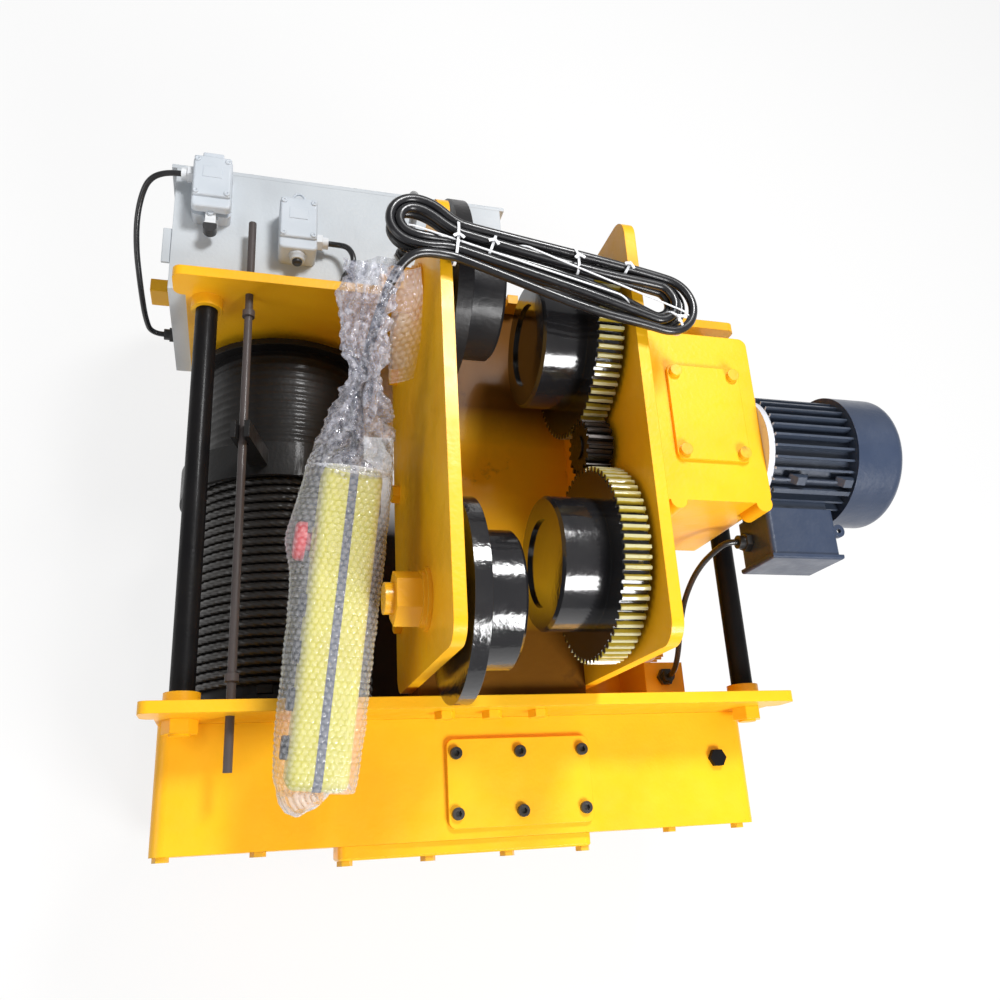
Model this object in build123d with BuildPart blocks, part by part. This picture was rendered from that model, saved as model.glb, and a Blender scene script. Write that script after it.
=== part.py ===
from build123d import *
import os
from math import acos, atan2, cos, degrees, dist, pi, radians, sin, sqrt, tan

# Electric rope hoist with a motor-driven beam trolley, standing on its two end plates.
# Millimetres. The origin is the middle of the beam's lower flange, on the running surface of the wheels:
# X goes across the beam, Y along the beam and Z up.

os.makedirs("parts", exist_ok=True)

# Clearances
FIT = 0.03            # running fit of a shaft in its bearing, each side
GAP = 0.3             # between pieces that lie close to each other
STRAIGHT = 1 - 1e-9   # cosine from which two directions count as one

# Beam wheels
WEB_GAP = 35          # between the faces of the left and right wheels
TREAD_R = 67
TREAD_W = 42
FLANGE_R = 98
FLANGE_W = 16
PLAIN_BASE = 336      # between the axles of the plain wheels
PLAIN_SHIFT = 8       # of these axles towards the panel
GEARED_BASE = 245     # between the axles of the geared wheels
GEARED_TREAD_W = 47   # treads of the right wheels, up to their gear rings
GEAR_FACE = 27        # width of these rings
TREAD_CHAMFER = 3
WHEEL_CAP = 8         # closed inner face of a wheel
DISH_R = 44           # shallow dish in that face
DISH_DEPTH = 3
AXLE_SHOULDER_R = 21
LEFT_SIDE_GAP = 10    # between the wheels and the trolley plates
RIGHT_SIDE_GAP = 6
AXLE_NUT_AF = 46
AXLE_NUT_L = 24
AXLE_END = 9          # thread past the nut
WASHER_R = 30
WASHER_T = 4

# Gears
PRESSURE_ANGLE = 20
ADDENDUM = 0.8        # stub teeth, in modules
DEDENDUM = 1.05
BACKLASH = 0.15       # taken off each tooth, along the pitch circle
FLANK_STEPS = 3
WHEEL_MODULE = 3
WHEEL_TEETH = 64
PINION_TEETH = 18
OUTPUT_MODULE = 2
OUTPUT_TEETH = 38
LAY_PINION_TEETH = 16
INPUT_MODULE = 1.5
LAY_GEAR_TEETH = 54
TROLLEY_ROTOR_TEETH = 18
DRUM_MODULE = 3.5
DRUM_TEETH = 60
SECOND_PINION_TEETH = 14
SECOND_MODULE = 3.5
SECOND_TEETH = 61
FIRST_PINION_TEETH = 15
FIRST_MODULE = 3
FIRST_TEETH = 76
HOIST_ROTOR_TEETH = 20

# Trolley plates and the girder between them
TROLLEY_T = 12
TROLLEY_L = 447
TROLLEY_TOP = 174
TROLLEY_CORNER_R = 22
GIRDER_TOP = -47
GIRDER_H = 60
GIRDER_T = 10
WELD_GAP = 0.05        # between plates that are welded

# End frame
SPAN = 469            # between the end plates
END_T = 12
END_W = 700
END_H = 400
END_TOP = -33
END_X = -4.5          # middle of the end plates
END_CORNER_R = 10
EAR_H = 42            # ears at the plates' upper corners
EAR_OUT = 13          # how far they stand out
TIE_R = 12.5
TIE_END_R = 10
TIE_INSET = 37        # from the ends of the plates
TIE_DROP = 50         # upper rods, from the top edge
TIE_RISE = 28         # lower rods, from the bottom edge
TIE_BOSS_R = 18
TIE_BOSS_L = 14
TIE_NUT_AF = 30
TIE_NUT_L = 14
TIE_END_L = 2         # thread past the nut
STOP_LUG_X = 38       # small lug on the far plate's top edge
STOP_LUG_W = 13
STOP_LUG_H = 10

# Bearings, all of one size
BEARING_R = 31
BEARING_BORE_R = 15
BEARING_W = 16

# Bolts
BOLT_R = 6
BOLT_AF = 19
BOLT_HEAD = 8
SCREW_R = 4
SCREW_HEAD_R = 6.5
SCREW_HEAD = 5
CAP_BOLT_AF = 14
GIRDER_BOLT_PITCH = 51
GIRDER_BOLT_DROP = 30  # below the plates' top edge
PLATE_BOLT_PITCH = 150

# Hoist gear case on the near plate
CASE_LEFT = -341.5
CASE_W = 661
CASE_DEPTH = 126
CASE_TOP = -113
CASE_H = 265
CASE_WALL = 8
CASE_FRONT_T = 10
CASE_CORNER_R = 14
POCKET_BOSS_R = 40
POCKET_WALL = 2        # left in front of a bearing
LAYER_START = 8        # from the near plate to the first gear
LAYER_GAP = 8
DRUM_GEAR_FACE = 34
SECOND_GEAR_FACE = 26
FIRST_GEAR_FACE = 20
SEAT_R = 19            # gear seats on the shafts
SHAFT_END_GAP = 1      # from a shaft's end to the face beside it
INSPECTION_X = 36.5
INSPECTION_Y = -316
INSPECTION_W = 163
INSPECTION_D = 92
INSPECTION_T = 6
INSPECTION_EDGE = 26   # from the cover's edge to the opening
INSPECTION_PITCH_X = 72
INSPECTION_PITCH_Y = 62
PLUG_X = 278
PLUG_Y = -299.5
PLUG_R = 9
PLUG_THREAD_R = 7
PLUG_H = 7
END_COVER_X = -20.5
END_COVER_W = 277
END_COVER_T = 14
END_COVER_DROP = 7     # below the case's top
END_COVER_H = 56
END_COVER_CHAMFER = 2
END_COVER_PITCH = 87
EDGE_BOLT_DROP = 12
EDGE_BOLTS_X = (-330, -238, 214, 300)

# Drum, rope and rope guide
DRUM_X = -218.5
SHAFT_Z = -249
DRUM_R = 102.8
DRUM_WALL = 11
DRUM_L = 445
DRUM_FLANGE_R = 117
DRUM_FLANGE_T = 8
DRUM_DISC_T = 12
DISC_HOLES = 6
DISC_HOLE_R = 20
DISC_HOLE_CIRCLE_R = 56
ROPE_D = 10
ROPE_PITCH = 10.6
ROPE_TURNS = 24
ROPE_START_Y = -208
ANCHOR_L = 16
ANCHOR_W = 9
ANCHOR_H = 11
GUIDE_Y = 58
GUIDE_W = 42
GUIDE_WALL = 6
GUIDE_CLEAR = 2.5      # over the drum's flanges
GUIDE_ARM_T = 20
PRONG_T = 6            # prongs of the guide's arm, each side of the limit rod
PRONG_L = 22
PRONG_GAP = 0.05       # running fit between the rod and a prong
ARM_GAP = 4            # between the rod and the end of the arm
ROD_R = 4.5
ROD_X = -270.5
ROD_Z = -63
ROD_NEAR_Y = -300
ROD_FAR_Y = 335
ROD_STOP_R = 7
ROD_STOP_L = 8
ROD_STOP_Y = 209       # middle of each stop, from the middle of the span

# Hoist motor under the trolley
HOIST_FLANGE_W = 135
HOIST_FLANGE_H = 238
HOIST_FLANGE_T = 14
HOIST_BODY_R = 84
HOIST_FIN_R = 94
HOIST_FIN_T = 3
HOIST_FINS = 32
HOIST_NECK_R = 48      # slim neck between its flange and its body
HOIST_NECK_L = 60
HOIST_BODY_L = 190
HOIST_WALL = 12
HOIST_HOOD_L = 60
HOIST_HOOD_R = 97
HOIST_CORE_R = 60
HOIST_CORE_L = 130
HOIST_BOX_W = 50       # its terminal box, on the flange's back
HOIST_BOX_D = 36
HOIST_BOX_RISE = 4     # above the flange

# Control panel on the far plate
PANEL_LEFT = -362.5
PANEL_W = 410
PANEL_TOP = -83
PANEL_H = 200
PANEL_D = 172
PANEL_WALL = 3
PANEL_LIP = 6
PANEL_COVER_T = 7
CONTACTOR_W = 56
CONTACTOR_H = 80
CONTACTOR_D = 75
CONTACTOR_KNOB = 11
CONTACTORS = 5
SWITCH_W = 45
SWITCH_L = 72
SWITCH_H = 34
LEFT_SWITCH = (-319, 377)
RIGHT_SWITCH = (-217.5, 333)
LEVER_PIN_R = 4
LEVER_REACH = 20
LEVER_W = 12
LEVER_T = 6
ROLLER_R = 8
LEVER_RISE = 20        # its middle, above the panel
PLUNGER_R = 6
PLUNGER_OUT = 13
PLUNGER_IN = 22
PLUNGER_TRAVEL = 4

# Trolley gear case, lid and motor
GEARCASE_L = 140
GEARCASE_NEAR = -71.5
GEARCASE_FAR = 118.5
GEARCASE_TOP = 127
GEARCASE_BOTTOM = -33
GEARCASE_WALL = 6
GEARCASE_CORNER_R = 9
CASE_BOSS_X = 36       # first boss, from the trolley plate
CASE_BOSS_R = 9
CASE_BOSS_H = 34
LID_W = 82
LID_D = 106
LID_T = 4
LID_X = 190
LID_Y = 24.5
LID_EDGE = 20
LID_PITCH_X = 66
LID_PITCH_Y = 89
PINION_SHAFT_R = 12.5
SHAFT_PROUD = 2        # a shaft's end past its gear
LAY_SHAFT_R = 8
LAY_SEAT_R = 10
LAY_BOSS_R = 16
LAY_BOSS_L = 12
TROLLEY_SHAFT_R = 11
OUTPUT_START = 14      # from the trolley plate to the output gear
OUTPUT_FACE = 16
INPUT_START = 62       # from the trolley plate to the input gears
INPUT_FACE = 13
MOTOR_FLANGE_R = 62
MOTOR_FLANGE_T = 7
MOTOR_BODY_R = 55
MOTOR_FIN_R = 66
MOTOR_FIN_T = 2.5
MOTOR_FINS = 34
MOTOR_L = 109
MOTOR_WALL = 7
MOTOR_CORE_R = 43
MOTOR_CORE_L = 66
MOTOR_REAR_T = 9
HOOD_R = 72
HOOD_WALL = 2.5
HOOD_L = 52
HOOD_ROUND_R = 14
HOOD_SLOTS = 18
HOOD_SLOT_W = 4
HOOD_SLOT_IN = 18
HOOD_SLOT_OUT = 52
FAN_START = 12         # from the motor's end to its fan
FAN_R = 58
FAN_T = 4
FAN_BLADES = 8
FAN_BLADE_W = 20
BOX_X = 294
BOX_L = 80
BOX_H = 60
BOX_DEPTH = 50
BOX_LID_T = 5
BOX_LID_EDGE = 2
PAD_Y = -68            # face of the motor's pad for its terminal box
PAD_L = 70
PAD_H = 52

# Pendant
PENDANT_L = 306
PENDANT_W = 62
PENDANT_HALF = 28.5    # each half's depth
PENDANT_WALL = 3
PENDANT_CORNER_R = 15
PENDANT_EDGE_R = 9
PENDANT_SEAM = 1.2
PENDANT_FOOT = (-192.2, -321.7, -15)
PENDANT_HEAD = (-164.1, -22.2, 42)
BUTTON_R = 11
BUTTON_OUT = 7
BUTTON_EDGE_R = 2
BUTTON_SKIRT_R = 14
BUTTON_SKIRT_T = 3
BUTTON_FIRST = 15
BUTTON_PITCH = 44
STOP_AT = 76
STOP_STEM_R = 9
STOP_HEAD_R = 19
STOP_HEAD_T = 11
STOP_RISE = 8          # under the mushroom head
STOP_COLLAR_R = 15
STOP_COLLAR_H = 3

# Cables
CABLE_D = 9
SWITCH_CABLE_D = 7
MOTOR_CABLE_D = 6.5
GLAND_R = 9
GLAND_L = 14
LEFT_GLAND_BACK = 20   # glands on the switches, from the middles of their sides
RIGHT_GLAND_FRONT = 12
BOX_GLAND_DROP = 12
HANK_PITCH = 10.1      # between strands that lie side by side
HANK_HALF = 124        # half of a straight run
HANK_TIE = -82         # along it: where the ties draw the strands in
HANK_FAN = 50          # and where they have spread again
HANK_DRAW = 8.5        # how far the ties draw a strand in
HANK_END_DRAW = 5      # the same for the first and the last strand
HANK_MIDDLE = (1, 141)
HANK_TURN = -13
HANK_INNER = 12        # the innermost strand, from the middle
LEAD_RUN = 8           # straight run of a lead at a gland or at the hank
HANK_LEAD = 14         # straight run of the panel's lead into the hank

# Worked-out places
AXLE_Z = TREAD_R
NEAR_IN = -SPAN / 2
NEAR_OUT = NEAR_IN - END_T
FAR_OUT = SPAN / 2 + END_T
END_BOTTOM = END_TOP - END_H
WHEEL_FACE = WEB_GAP / 2
TREAD_END = WHEEL_FACE + TREAD_W
GEAR_START = WHEEL_FACE + GEARED_TREAD_W
LEFT_IN = -(TREAD_END + FLANGE_W + LEFT_SIDE_GAP)
LEFT_OUT = LEFT_IN - TROLLEY_T
RIGHT_IN = GEAR_START + GEAR_FACE + RIGHT_SIDE_GAP
RIGHT_OUT = RIGHT_IN + TROLLEY_T
GIRDER_BOTTOM = GIRDER_TOP - GIRDER_H
GIRDER_W = RIGHT_IN - LEFT_IN
JOURNAL_R = BEARING_BORE_R - FIT
WHEEL_CENTRES = WHEEL_MODULE * (WHEEL_TEETH + PINION_TEETH) / 2
PINION_Z = AXLE_Z + sqrt(WHEEL_CENTRES ** 2 - (GEARED_BASE / 2) ** 2)
LAY_Y = OUTPUT_MODULE * (OUTPUT_TEETH + LAY_PINION_TEETH) / 2
SECOND_X = DRUM_X + DRUM_MODULE * (DRUM_TEETH + SECOND_PINION_TEETH) / 2
FIRST_X = SECOND_X + SECOND_MODULE * (SECOND_TEETH + FIRST_PINION_TEETH) / 2
MOTOR_X = FIRST_X + FIRST_MODULE * (FIRST_TEETH + HOIST_ROTOR_TEETH) / 2
DRUM_GEAR_Y = NEAR_OUT - LAYER_START
SECOND_GEAR_Y = DRUM_GEAR_Y - DRUM_GEAR_FACE - LAYER_GAP
FIRST_GEAR_Y = SECOND_GEAR_Y - SECOND_GEAR_FACE - LAYER_GAP
CASE_FRONT = NEAR_OUT - CASE_DEPTH
CASE_X = CASE_LEFT + CASE_W / 2
CASE_Z = CASE_TOP - CASE_H / 2
POCKET_Y = CASE_FRONT + POCKET_WALL
GUIDE_IN_R = DRUM_FLANGE_R + GUIDE_CLEAR
ROPE_R = DRUM_R + ROPE_D / 2 + 0.1
GEARCASE_END = RIGHT_OUT + GEARCASE_L
MOTOR_END = GEARCASE_END + MOTOR_L
PANEL_BACK = FAR_OUT + PANEL_D
PANEL_MIDDLE_Z = PANEL_TOP - PANEL_H / 2
TIE_POINTS = [
    (END_X + side * (END_W / 2 - TIE_INSET), z)
    for side in (-1, 1)
    for z in (END_TOP - TIE_DROP, END_BOTTOM + TIE_RISE)
]
GIRDER_BOLTS = [(END_X + step * GIRDER_BOLT_PITCH, END_TOP - GIRDER_BOLT_DROP) for step in (-1, 0, 1)]


# Helpers
def along(axis, origin):
    """A plane at a point whose normal runs along one axis, X, Y, -Y, -X or Z."""
    normals = {"X": (1, 0, 0), "-X": (-1, 0, 0), "Y": (0, 1, 0), "-Y": (0, -1, 0), "Z": (0, 0, 1)}
    sideways = {"X": (0, 1, 0), "-X": (0, 1, 0), "Y": (1, 0, 0), "-Y": (1, 0, 0), "Z": (1, 0, 0)}
    return Plane(origin=origin, x_dir=sideways[axis], z_dir=normals[axis])


def disc(plane, radius, length, mode=Mode.ADD):
    """A round solid that stands on a plane."""
    with Locations(plane):
        Cylinder(radius, length, align=(Align.CENTER, Align.CENTER, Align.MIN), mode=mode)


def block(low, high, mode=Mode.ADD):
    """A box between two corners."""
    size = [b - a for a, b in zip(low, high)]
    with Locations(tuple((a + b) / 2 for a, b in zip(low, high))):
        Box(*size, mode=mode)


def hexagon(plane, across_flats):
    """A hexagon on a plane, to be extruded."""
    with BuildSketch(plane, mode=Mode.PRIVATE) as sketch:
        RegularPolygon(across_flats / 2, 6, major_radius=False)
    return sketch.sketch


def gear_face(plane, teeth, module, phase):
    """A spur gear's outline with involute flanks; a tooth is centred on the phase, in degrees."""
    pitch_r = teeth * module / 2
    base_r = pitch_r * cos(radians(PRESSURE_ANGLE))
    root_r = pitch_r - DEDENDUM * module
    tip_r = pitch_r + ADDENDUM * module
    start_r = max(base_r, root_r)
    half_at_base = pi / (2 * teeth) - BACKLASH / (2 * pitch_r)
    half_at_base += tan(radians(PRESSURE_ANGLE)) - radians(PRESSURE_ANGLE)
    flank = [(root_r, half_at_base)] if root_r < base_r else []
    for step in range(FLANK_STEPS + 1):
        radius = start_r + (tip_r - start_r) * step / FLANK_STEPS
        slope = acos(min(1, base_r / radius))
        flank.append((radius, half_at_base - tan(slope) + slope))
    points = []
    for tooth in range(teeth):
        centre = radians(phase) + 2 * pi * tooth / teeth
        for radius, half in flank:
            points.append((radius * cos(centre - half), radius * sin(centre - half)))
        for radius, half in reversed(flank):
            points.append((radius * cos(centre + half), radius * sin(centre + half)))
    with BuildSketch(plane, mode=Mode.PRIVATE) as sketch:
        with BuildLine():
            Polyline(*points, close=True)
        make_face()
    return sketch.sketch


def mesh_phase(phase, teeth, other_teeth, direction):
    """Phase of the other gear so that it meshes, with its centre in the given direction."""
    return direction + 180 - (phase - direction) * teeth / other_teeth - 180 / other_teeth


def biarc(start, start_way, end, end_way):
    """The point where two tangent arcs meet between two points with given directions."""
    chord = end - start
    both = start_way + end_way
    square = 2 * (1 - start_way.dot(end_way))
    if square < 1e-9:
        reach = chord.dot(chord) / (2 * chord.dot(both))
    else:
        half = chord.dot(both)
        reach = (sqrt(half ** 2 + square * chord.dot(chord)) - half) / square
    return (start + start_way * reach + end - end_way * reach) * 0.5


def least_gap(line, diameter, step):
    """Least gap of a wound tube to itself, measured on points along its line."""
    count = int(line.length / step)
    points = [tuple(line.position_at(i / count)) for i in range(count + 1)]
    away = int(2.2 * diameter / step) + 1
    least = min(
        dist(points[i], points[j]) for i in range(0, count, 2) for j in range(i + away, count + 1)
    )
    return least - diameter


def wound_tube(name, stations, diameter, step):
    """A wound tube through stations of a point and a direction, with a straight end at each side."""
    with BuildPart() as tube:
        with BuildLine() as route:
            first, first_way = stations[0]
            Line(first - first_way * diameter, first)
            for (start, start_way), (end, end_way) in zip(stations, stations[1:]):
                if (end - start).normalized().dot(start_way) > STRAIGHT:
                    Line(start, end)
                    continue
                middle = biarc(start, start_way, end, end_way)
                chord = (middle - start).normalized()
                middle_way = chord * (2 * chord.dot(start_way)) - start_way
                TangentArc(start, middle, tangent=start_way)
                TangentArc(middle, end, tangent=middle_way)
            last, last_way = stations[-1]
            Line(last, last + last_way * diameter)
        with BuildSketch(Plane(origin=route.line @ 0, z_dir=route.line % 0)):
            Circle(diameter / 2)
        sweep()
    line = route.wire()
    whole = pi * diameter ** 2 / 4 * line.length
    print(name, "gap", round(least_gap(line, diameter, step), 2), "volume", round(tube.part.volume / whole, 4))
    return tube


def cord(name, points, diameter):
    """A cable along straight runs joined by arcs that are as large as the runs allow."""
    places = [Vector(*point) for point in points]
    radii = []
    for before, here, after in zip(places, places[1:], places[2:]):
        turn = radians((here - before).get_angle(after - here))
        shorter = min((here - before).length, (after - here).length)
        radii.append(0.45 * shorter / tan(turn / 2))
    with BuildPart() as tube:
        with BuildLine() as route:
            FilletPolyline(*places, radius=radii)
        with BuildSketch(Plane(origin=route.line @ 0, z_dir=route.line % 0)):
            Circle(diameter / 2)
        sweep()
    whole = pi * diameter ** 2 / 4 * route.wire().length
    print(name, "radii", [round(r) for r in radii], "volume", round(tube.part.volume / whole, 4))
    return tube


def save(name, builder):
    """Labels one finished piece and writes it."""
    builder.part.label = name
    export_step(builder.part, "parts/" + name + ".step")


# End plates
def end_plate_face(offset):
    """Outline of an end plate with its ears, to be extruded."""
    with BuildSketch(Plane.XZ.offset(offset), mode=Mode.PRIVATE) as sketch:
        with Locations((END_X, END_TOP - EAR_H / 2)):
            RectangleRounded(END_W, EAR_H, END_CORNER_R)
        with Locations((END_X, END_TOP - END_H / 2)):
            RectangleRounded(END_W - 2 * EAR_OUT, END_H, END_CORNER_R)
    return sketch.sketch


with BuildPart() as near_end_plate:
    extrude(end_plate_face(-NEAR_IN), amount=END_T)
    for x, z in TIE_POINTS:
        disc(along("Y", (x, NEAR_IN, z)), TIE_BOSS_R, TIE_BOSS_L)
        disc(along("Y", (x, NEAR_OUT, z)), TIE_END_R, END_T + TIE_BOSS_L, Mode.SUBTRACT)
    for x in (DRUM_X, SECOND_X, FIRST_X, MOTOR_X):
        disc(along("Y", (x, NEAR_OUT, SHAFT_Z)), BEARING_R, END_T, Mode.SUBTRACT)
    for x, z in GIRDER_BOLTS:
        disc(along("Y", (x, NEAR_OUT, z)), BOLT_R, END_T, Mode.SUBTRACT)
    disc(along("Y", (ROD_X, NEAR_OUT, ROD_Z)), ROD_R + FIT, END_T, Mode.SUBTRACT)
save("near_end_plate", near_end_plate)

BEARING_PROUD = BEARING_W - END_T
with BuildPart() as far_end_plate:
    extrude(end_plate_face(-SPAN / 2), amount=-END_T)
    for x, z in TIE_POINTS:
        disc(along("-Y", (x, SPAN / 2, z)), TIE_BOSS_R, TIE_BOSS_L)
        disc(along("-Y", (x, FAR_OUT, z)), TIE_END_R, END_T + TIE_BOSS_L, Mode.SUBTRACT)
    disc(along("-Y", (DRUM_X, SPAN / 2, SHAFT_Z)), POCKET_BOSS_R, BEARING_PROUD)
    disc(along("-Y", (DRUM_X, FAR_OUT, SHAFT_Z)), BEARING_R, BEARING_W, Mode.SUBTRACT)
    for x, z in GIRDER_BOLTS:
        disc(along("-Y", (x, FAR_OUT, z)), BOLT_R, END_T, Mode.SUBTRACT)
    disc(along("-Y", (ROD_X, FAR_OUT, ROD_Z)), ROD_R + FIT, END_T, Mode.SUBTRACT)
    block((STOP_LUG_X - STOP_LUG_W / 2, SPAN / 2, END_TOP),
          (STOP_LUG_X + STOP_LUG_W / 2, FAR_OUT, END_TOP + STOP_LUG_H))
save("far_end_plate", far_end_plate)

# Tie rods, screwed into the far plate, and their nuts on the near plate
TIE_START = NEAR_OUT - TIE_NUT_L - TIE_END_L
with BuildPart() as tie_rods:
    for x, z in TIE_POINTS:
        disc(along("Y", (x, NEAR_IN + TIE_BOSS_L, z)), TIE_R, SPAN - 2 * TIE_BOSS_L)
        disc(along("Y", (x, TIE_START, z)), TIE_END_R, FAR_OUT - TIE_START)
save("tie_rods", tie_rods)

with BuildPart() as tie_rod_nuts:
    for x, z in TIE_POINTS:
        seat = along("-Y", (x, NEAR_OUT, z))
        extrude(hexagon(seat, TIE_NUT_AF), amount=TIE_NUT_L)
        disc(seat, TIE_END_R, TIE_NUT_L, Mode.SUBTRACT)
save("tie_rod_nuts", tie_rod_nuts)

# Suspension girder under the trolley, of five plates whose welds aren't drawn
PLATE_BOLTS = [(step * PLATE_BOLT_PITCH, (GIRDER_TOP + GIRDER_BOTTOM) / 2) for step in (-1, 0, 1)]
GIRDER_ROOF = GIRDER_TOP - GIRDER_T
WEB_TOP = GIRDER_ROOF - WELD_GAP
with BuildPart() as suspension_girder:
    block((LEFT_IN, NEAR_IN, GIRDER_ROOF), (RIGHT_IN, -NEAR_IN, GIRDER_TOP))
    for x in (LEFT_IN, RIGHT_IN - GIRDER_T):
        block((x, NEAR_IN, GIRDER_BOTTOM), (x + GIRDER_T, -NEAR_IN, WEB_TOP))
    for y in (NEAR_IN, -NEAR_IN - GIRDER_T):
        block((LEFT_IN + GIRDER_T + WELD_GAP, y, GIRDER_BOTTOM),
              (RIGHT_IN - GIRDER_T - WELD_GAP, y + GIRDER_T, WEB_TOP))
    for x, z in GIRDER_BOLTS:
        disc(along("Y", (x, NEAR_IN, z)), BOLT_R, SPAN, Mode.SUBTRACT)
    for y, z in PLATE_BOLTS:
        disc(along("X", (LEFT_IN, y, z)), BOLT_R, GIRDER_W, Mode.SUBTRACT)
save("suspension_girder", suspension_girder)

BOLT_SHANK = END_T + GIRDER_T
with BuildPart() as frame_bolts:
    for x, z in GIRDER_BOLTS:
        for side, way in ((-1, "-Y"), (1, "Y")):
            extrude(hexagon(along(way, (x, side * FAR_OUT, z)), BOLT_AF), amount=BOLT_HEAD)
            disc(along(way, (x, side * (FAR_OUT - BOLT_SHANK), z)), BOLT_R, BOLT_SHANK)
    for y, z in PLATE_BOLTS:
        for head, foot, way in ((LEFT_OUT, LEFT_IN + GIRDER_T, "-X"), (RIGHT_OUT, RIGHT_IN - GIRDER_T, "X")):
            extrude(hexagon(along(way, (head, y, z)), BOLT_AF), amount=BOLT_HEAD)
            disc(along(way, (foot, y, z)), BOLT_R, TROLLEY_T + GIRDER_T)
save("frame_bolts", frame_bolts)

# Hoist gear case
with BuildPart() as gearbox_housing:
    with BuildSketch(Plane.XZ.offset(-NEAR_OUT)):
        with Locations((CASE_X, CASE_Z)):
            RectangleRounded(CASE_W, CASE_H, CASE_CORNER_R)
    extrude(amount=CASE_DEPTH)
    with BuildSketch(Plane.XZ.offset(-NEAR_OUT)):
        with Locations((CASE_X, CASE_Z)):
            RectangleRounded(CASE_W - 2 * CASE_WALL, CASE_H - 2 * CASE_WALL, CASE_CORNER_R - CASE_WALL)
    extrude(amount=CASE_DEPTH - CASE_FRONT_T, mode=Mode.SUBTRACT)
    for x in (SECOND_X, FIRST_X, MOTOR_X):
        disc(along("Y", (x, CASE_FRONT + CASE_FRONT_T, SHAFT_Z)), POCKET_BOSS_R,
             BEARING_W + POCKET_WALL - CASE_FRONT_T)
        disc(along("Y", (x, POCKET_Y, SHAFT_Z)), BEARING_R, BEARING_W, Mode.SUBTRACT)
    block((INSPECTION_X - INSPECTION_W / 2 + INSPECTION_EDGE, INSPECTION_Y - INSPECTION_D / 2 + INSPECTION_EDGE,
           CASE_TOP - CASE_WALL),
          (INSPECTION_X + INSPECTION_W / 2 - INSPECTION_EDGE, INSPECTION_Y + INSPECTION_D / 2 - INSPECTION_EDGE,
           CASE_TOP), Mode.SUBTRACT)
    disc(along("Z", (PLUG_X, PLUG_Y, CASE_TOP - CASE_WALL)), PLUG_THREAD_R, CASE_WALL, Mode.SUBTRACT)
save("gearbox_housing", gearbox_housing)

INSPECTION_SCREWS = [
    (INSPECTION_X + column * INSPECTION_PITCH_X, INSPECTION_Y + row * INSPECTION_PITCH_Y / 2)
    for column in (-1, 0, 1)
    for row in (-1, 1)
]
with BuildPart() as inspection_cover:
    with BuildSketch(Plane.XY.offset(CASE_TOP)):
        with Locations((INSPECTION_X, INSPECTION_Y)):
            RectangleRounded(INSPECTION_W, INSPECTION_D, CASE_WALL)
    extrude(amount=INSPECTION_T)
    for x, y in INSPECTION_SCREWS:
        disc(along("Z", (x, y, CASE_TOP)), SCREW_R, INSPECTION_T, Mode.SUBTRACT)
save("inspection_cover", inspection_cover)

COVER_TOP = CASE_TOP - END_COVER_DROP
COVER_FRONT = CASE_FRONT - END_COVER_T
COVER_BOLTS = [
    (END_COVER_X + (step - 1.5) * END_COVER_PITCH, COVER_TOP - EDGE_BOLT_DROP)
    for step in range(4)
]
with BuildPart() as end_cover:
    with BuildSketch(Plane.XZ.offset(-CASE_FRONT)):
        with Locations((END_COVER_X, COVER_TOP - END_COVER_H / 2)):
            RectangleRounded(END_COVER_W, END_COVER_H, CASE_WALL)
    extrude(amount=END_COVER_T)
    chamfer(end_cover.faces().sort_by(Axis.Y)[0].edges(), END_COVER_CHAMFER)
    for x, z in COVER_BOLTS:
        disc(along("-Y", (x, CASE_FRONT, z)), SCREW_R, END_COVER_T, Mode.SUBTRACT)
save("end_cover", end_cover)

EDGE_BOLTS = [(x, CASE_TOP - EDGE_BOLT_DROP) for x in EDGE_BOLTS_X]
LID_SCREWS = [
    (LID_X + column * LID_PITCH_X / 2, LID_Y + row * LID_PITCH_Y / 2)
    for column in (-1, 1)
    for row in (-1, 1)
]
with BuildPart() as cover_screws:
    for x, y in INSPECTION_SCREWS:
        top = CASE_TOP + INSPECTION_T
        disc(along("Z", (x, y, top)), SCREW_HEAD_R, SCREW_HEAD)
        disc(along("Z", (x, y, CASE_TOP)), SCREW_R, INSPECTION_T)
        extrude(hexagon(along("Z", (x, y, top + SCREW_HEAD / 3)), SCREW_R * 1.5), amount=SCREW_HEAD,
                mode=Mode.SUBTRACT)
    for x, y in LID_SCREWS:
        disc(along("Z", (x, y, GEARCASE_TOP + LID_T)), SCREW_HEAD_R, SCREW_HEAD)
        disc(along("Z", (x, y, GEARCASE_TOP)), SCREW_R, LID_T)
    for x, z in COVER_BOLTS:
        extrude(hexagon(along("-Y", (x, COVER_FRONT, z)), CAP_BOLT_AF), amount=SCREW_HEAD)
        disc(along("Y", (x, COVER_FRONT, z)), SCREW_R, END_COVER_T)
    for x, z in EDGE_BOLTS:
        extrude(hexagon(along("-Y", (x, CASE_FRONT, z)), CAP_BOLT_AF), amount=SCREW_HEAD)
save("cover_screws", cover_screws)

with BuildPart() as oil_plug:
    extrude(hexagon(along("Z", (PLUG_X, PLUG_Y, CASE_TOP)), 2 * PLUG_R), amount=PLUG_H)
    disc(along("Z", (PLUG_X, PLUG_Y, CASE_TOP - CASE_WALL)), PLUG_THREAD_R, CASE_WALL)
save("oil_plug", oil_plug)

# Drum with its end discs, journals and rope anchors
DRUM_START = -DRUM_L / 2
DRUM_JOURNAL_Y = DRUM_GEAR_Y - DRUM_GEAR_FACE - 2
DRUM_FAR_Y = FAR_OUT - 2


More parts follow.
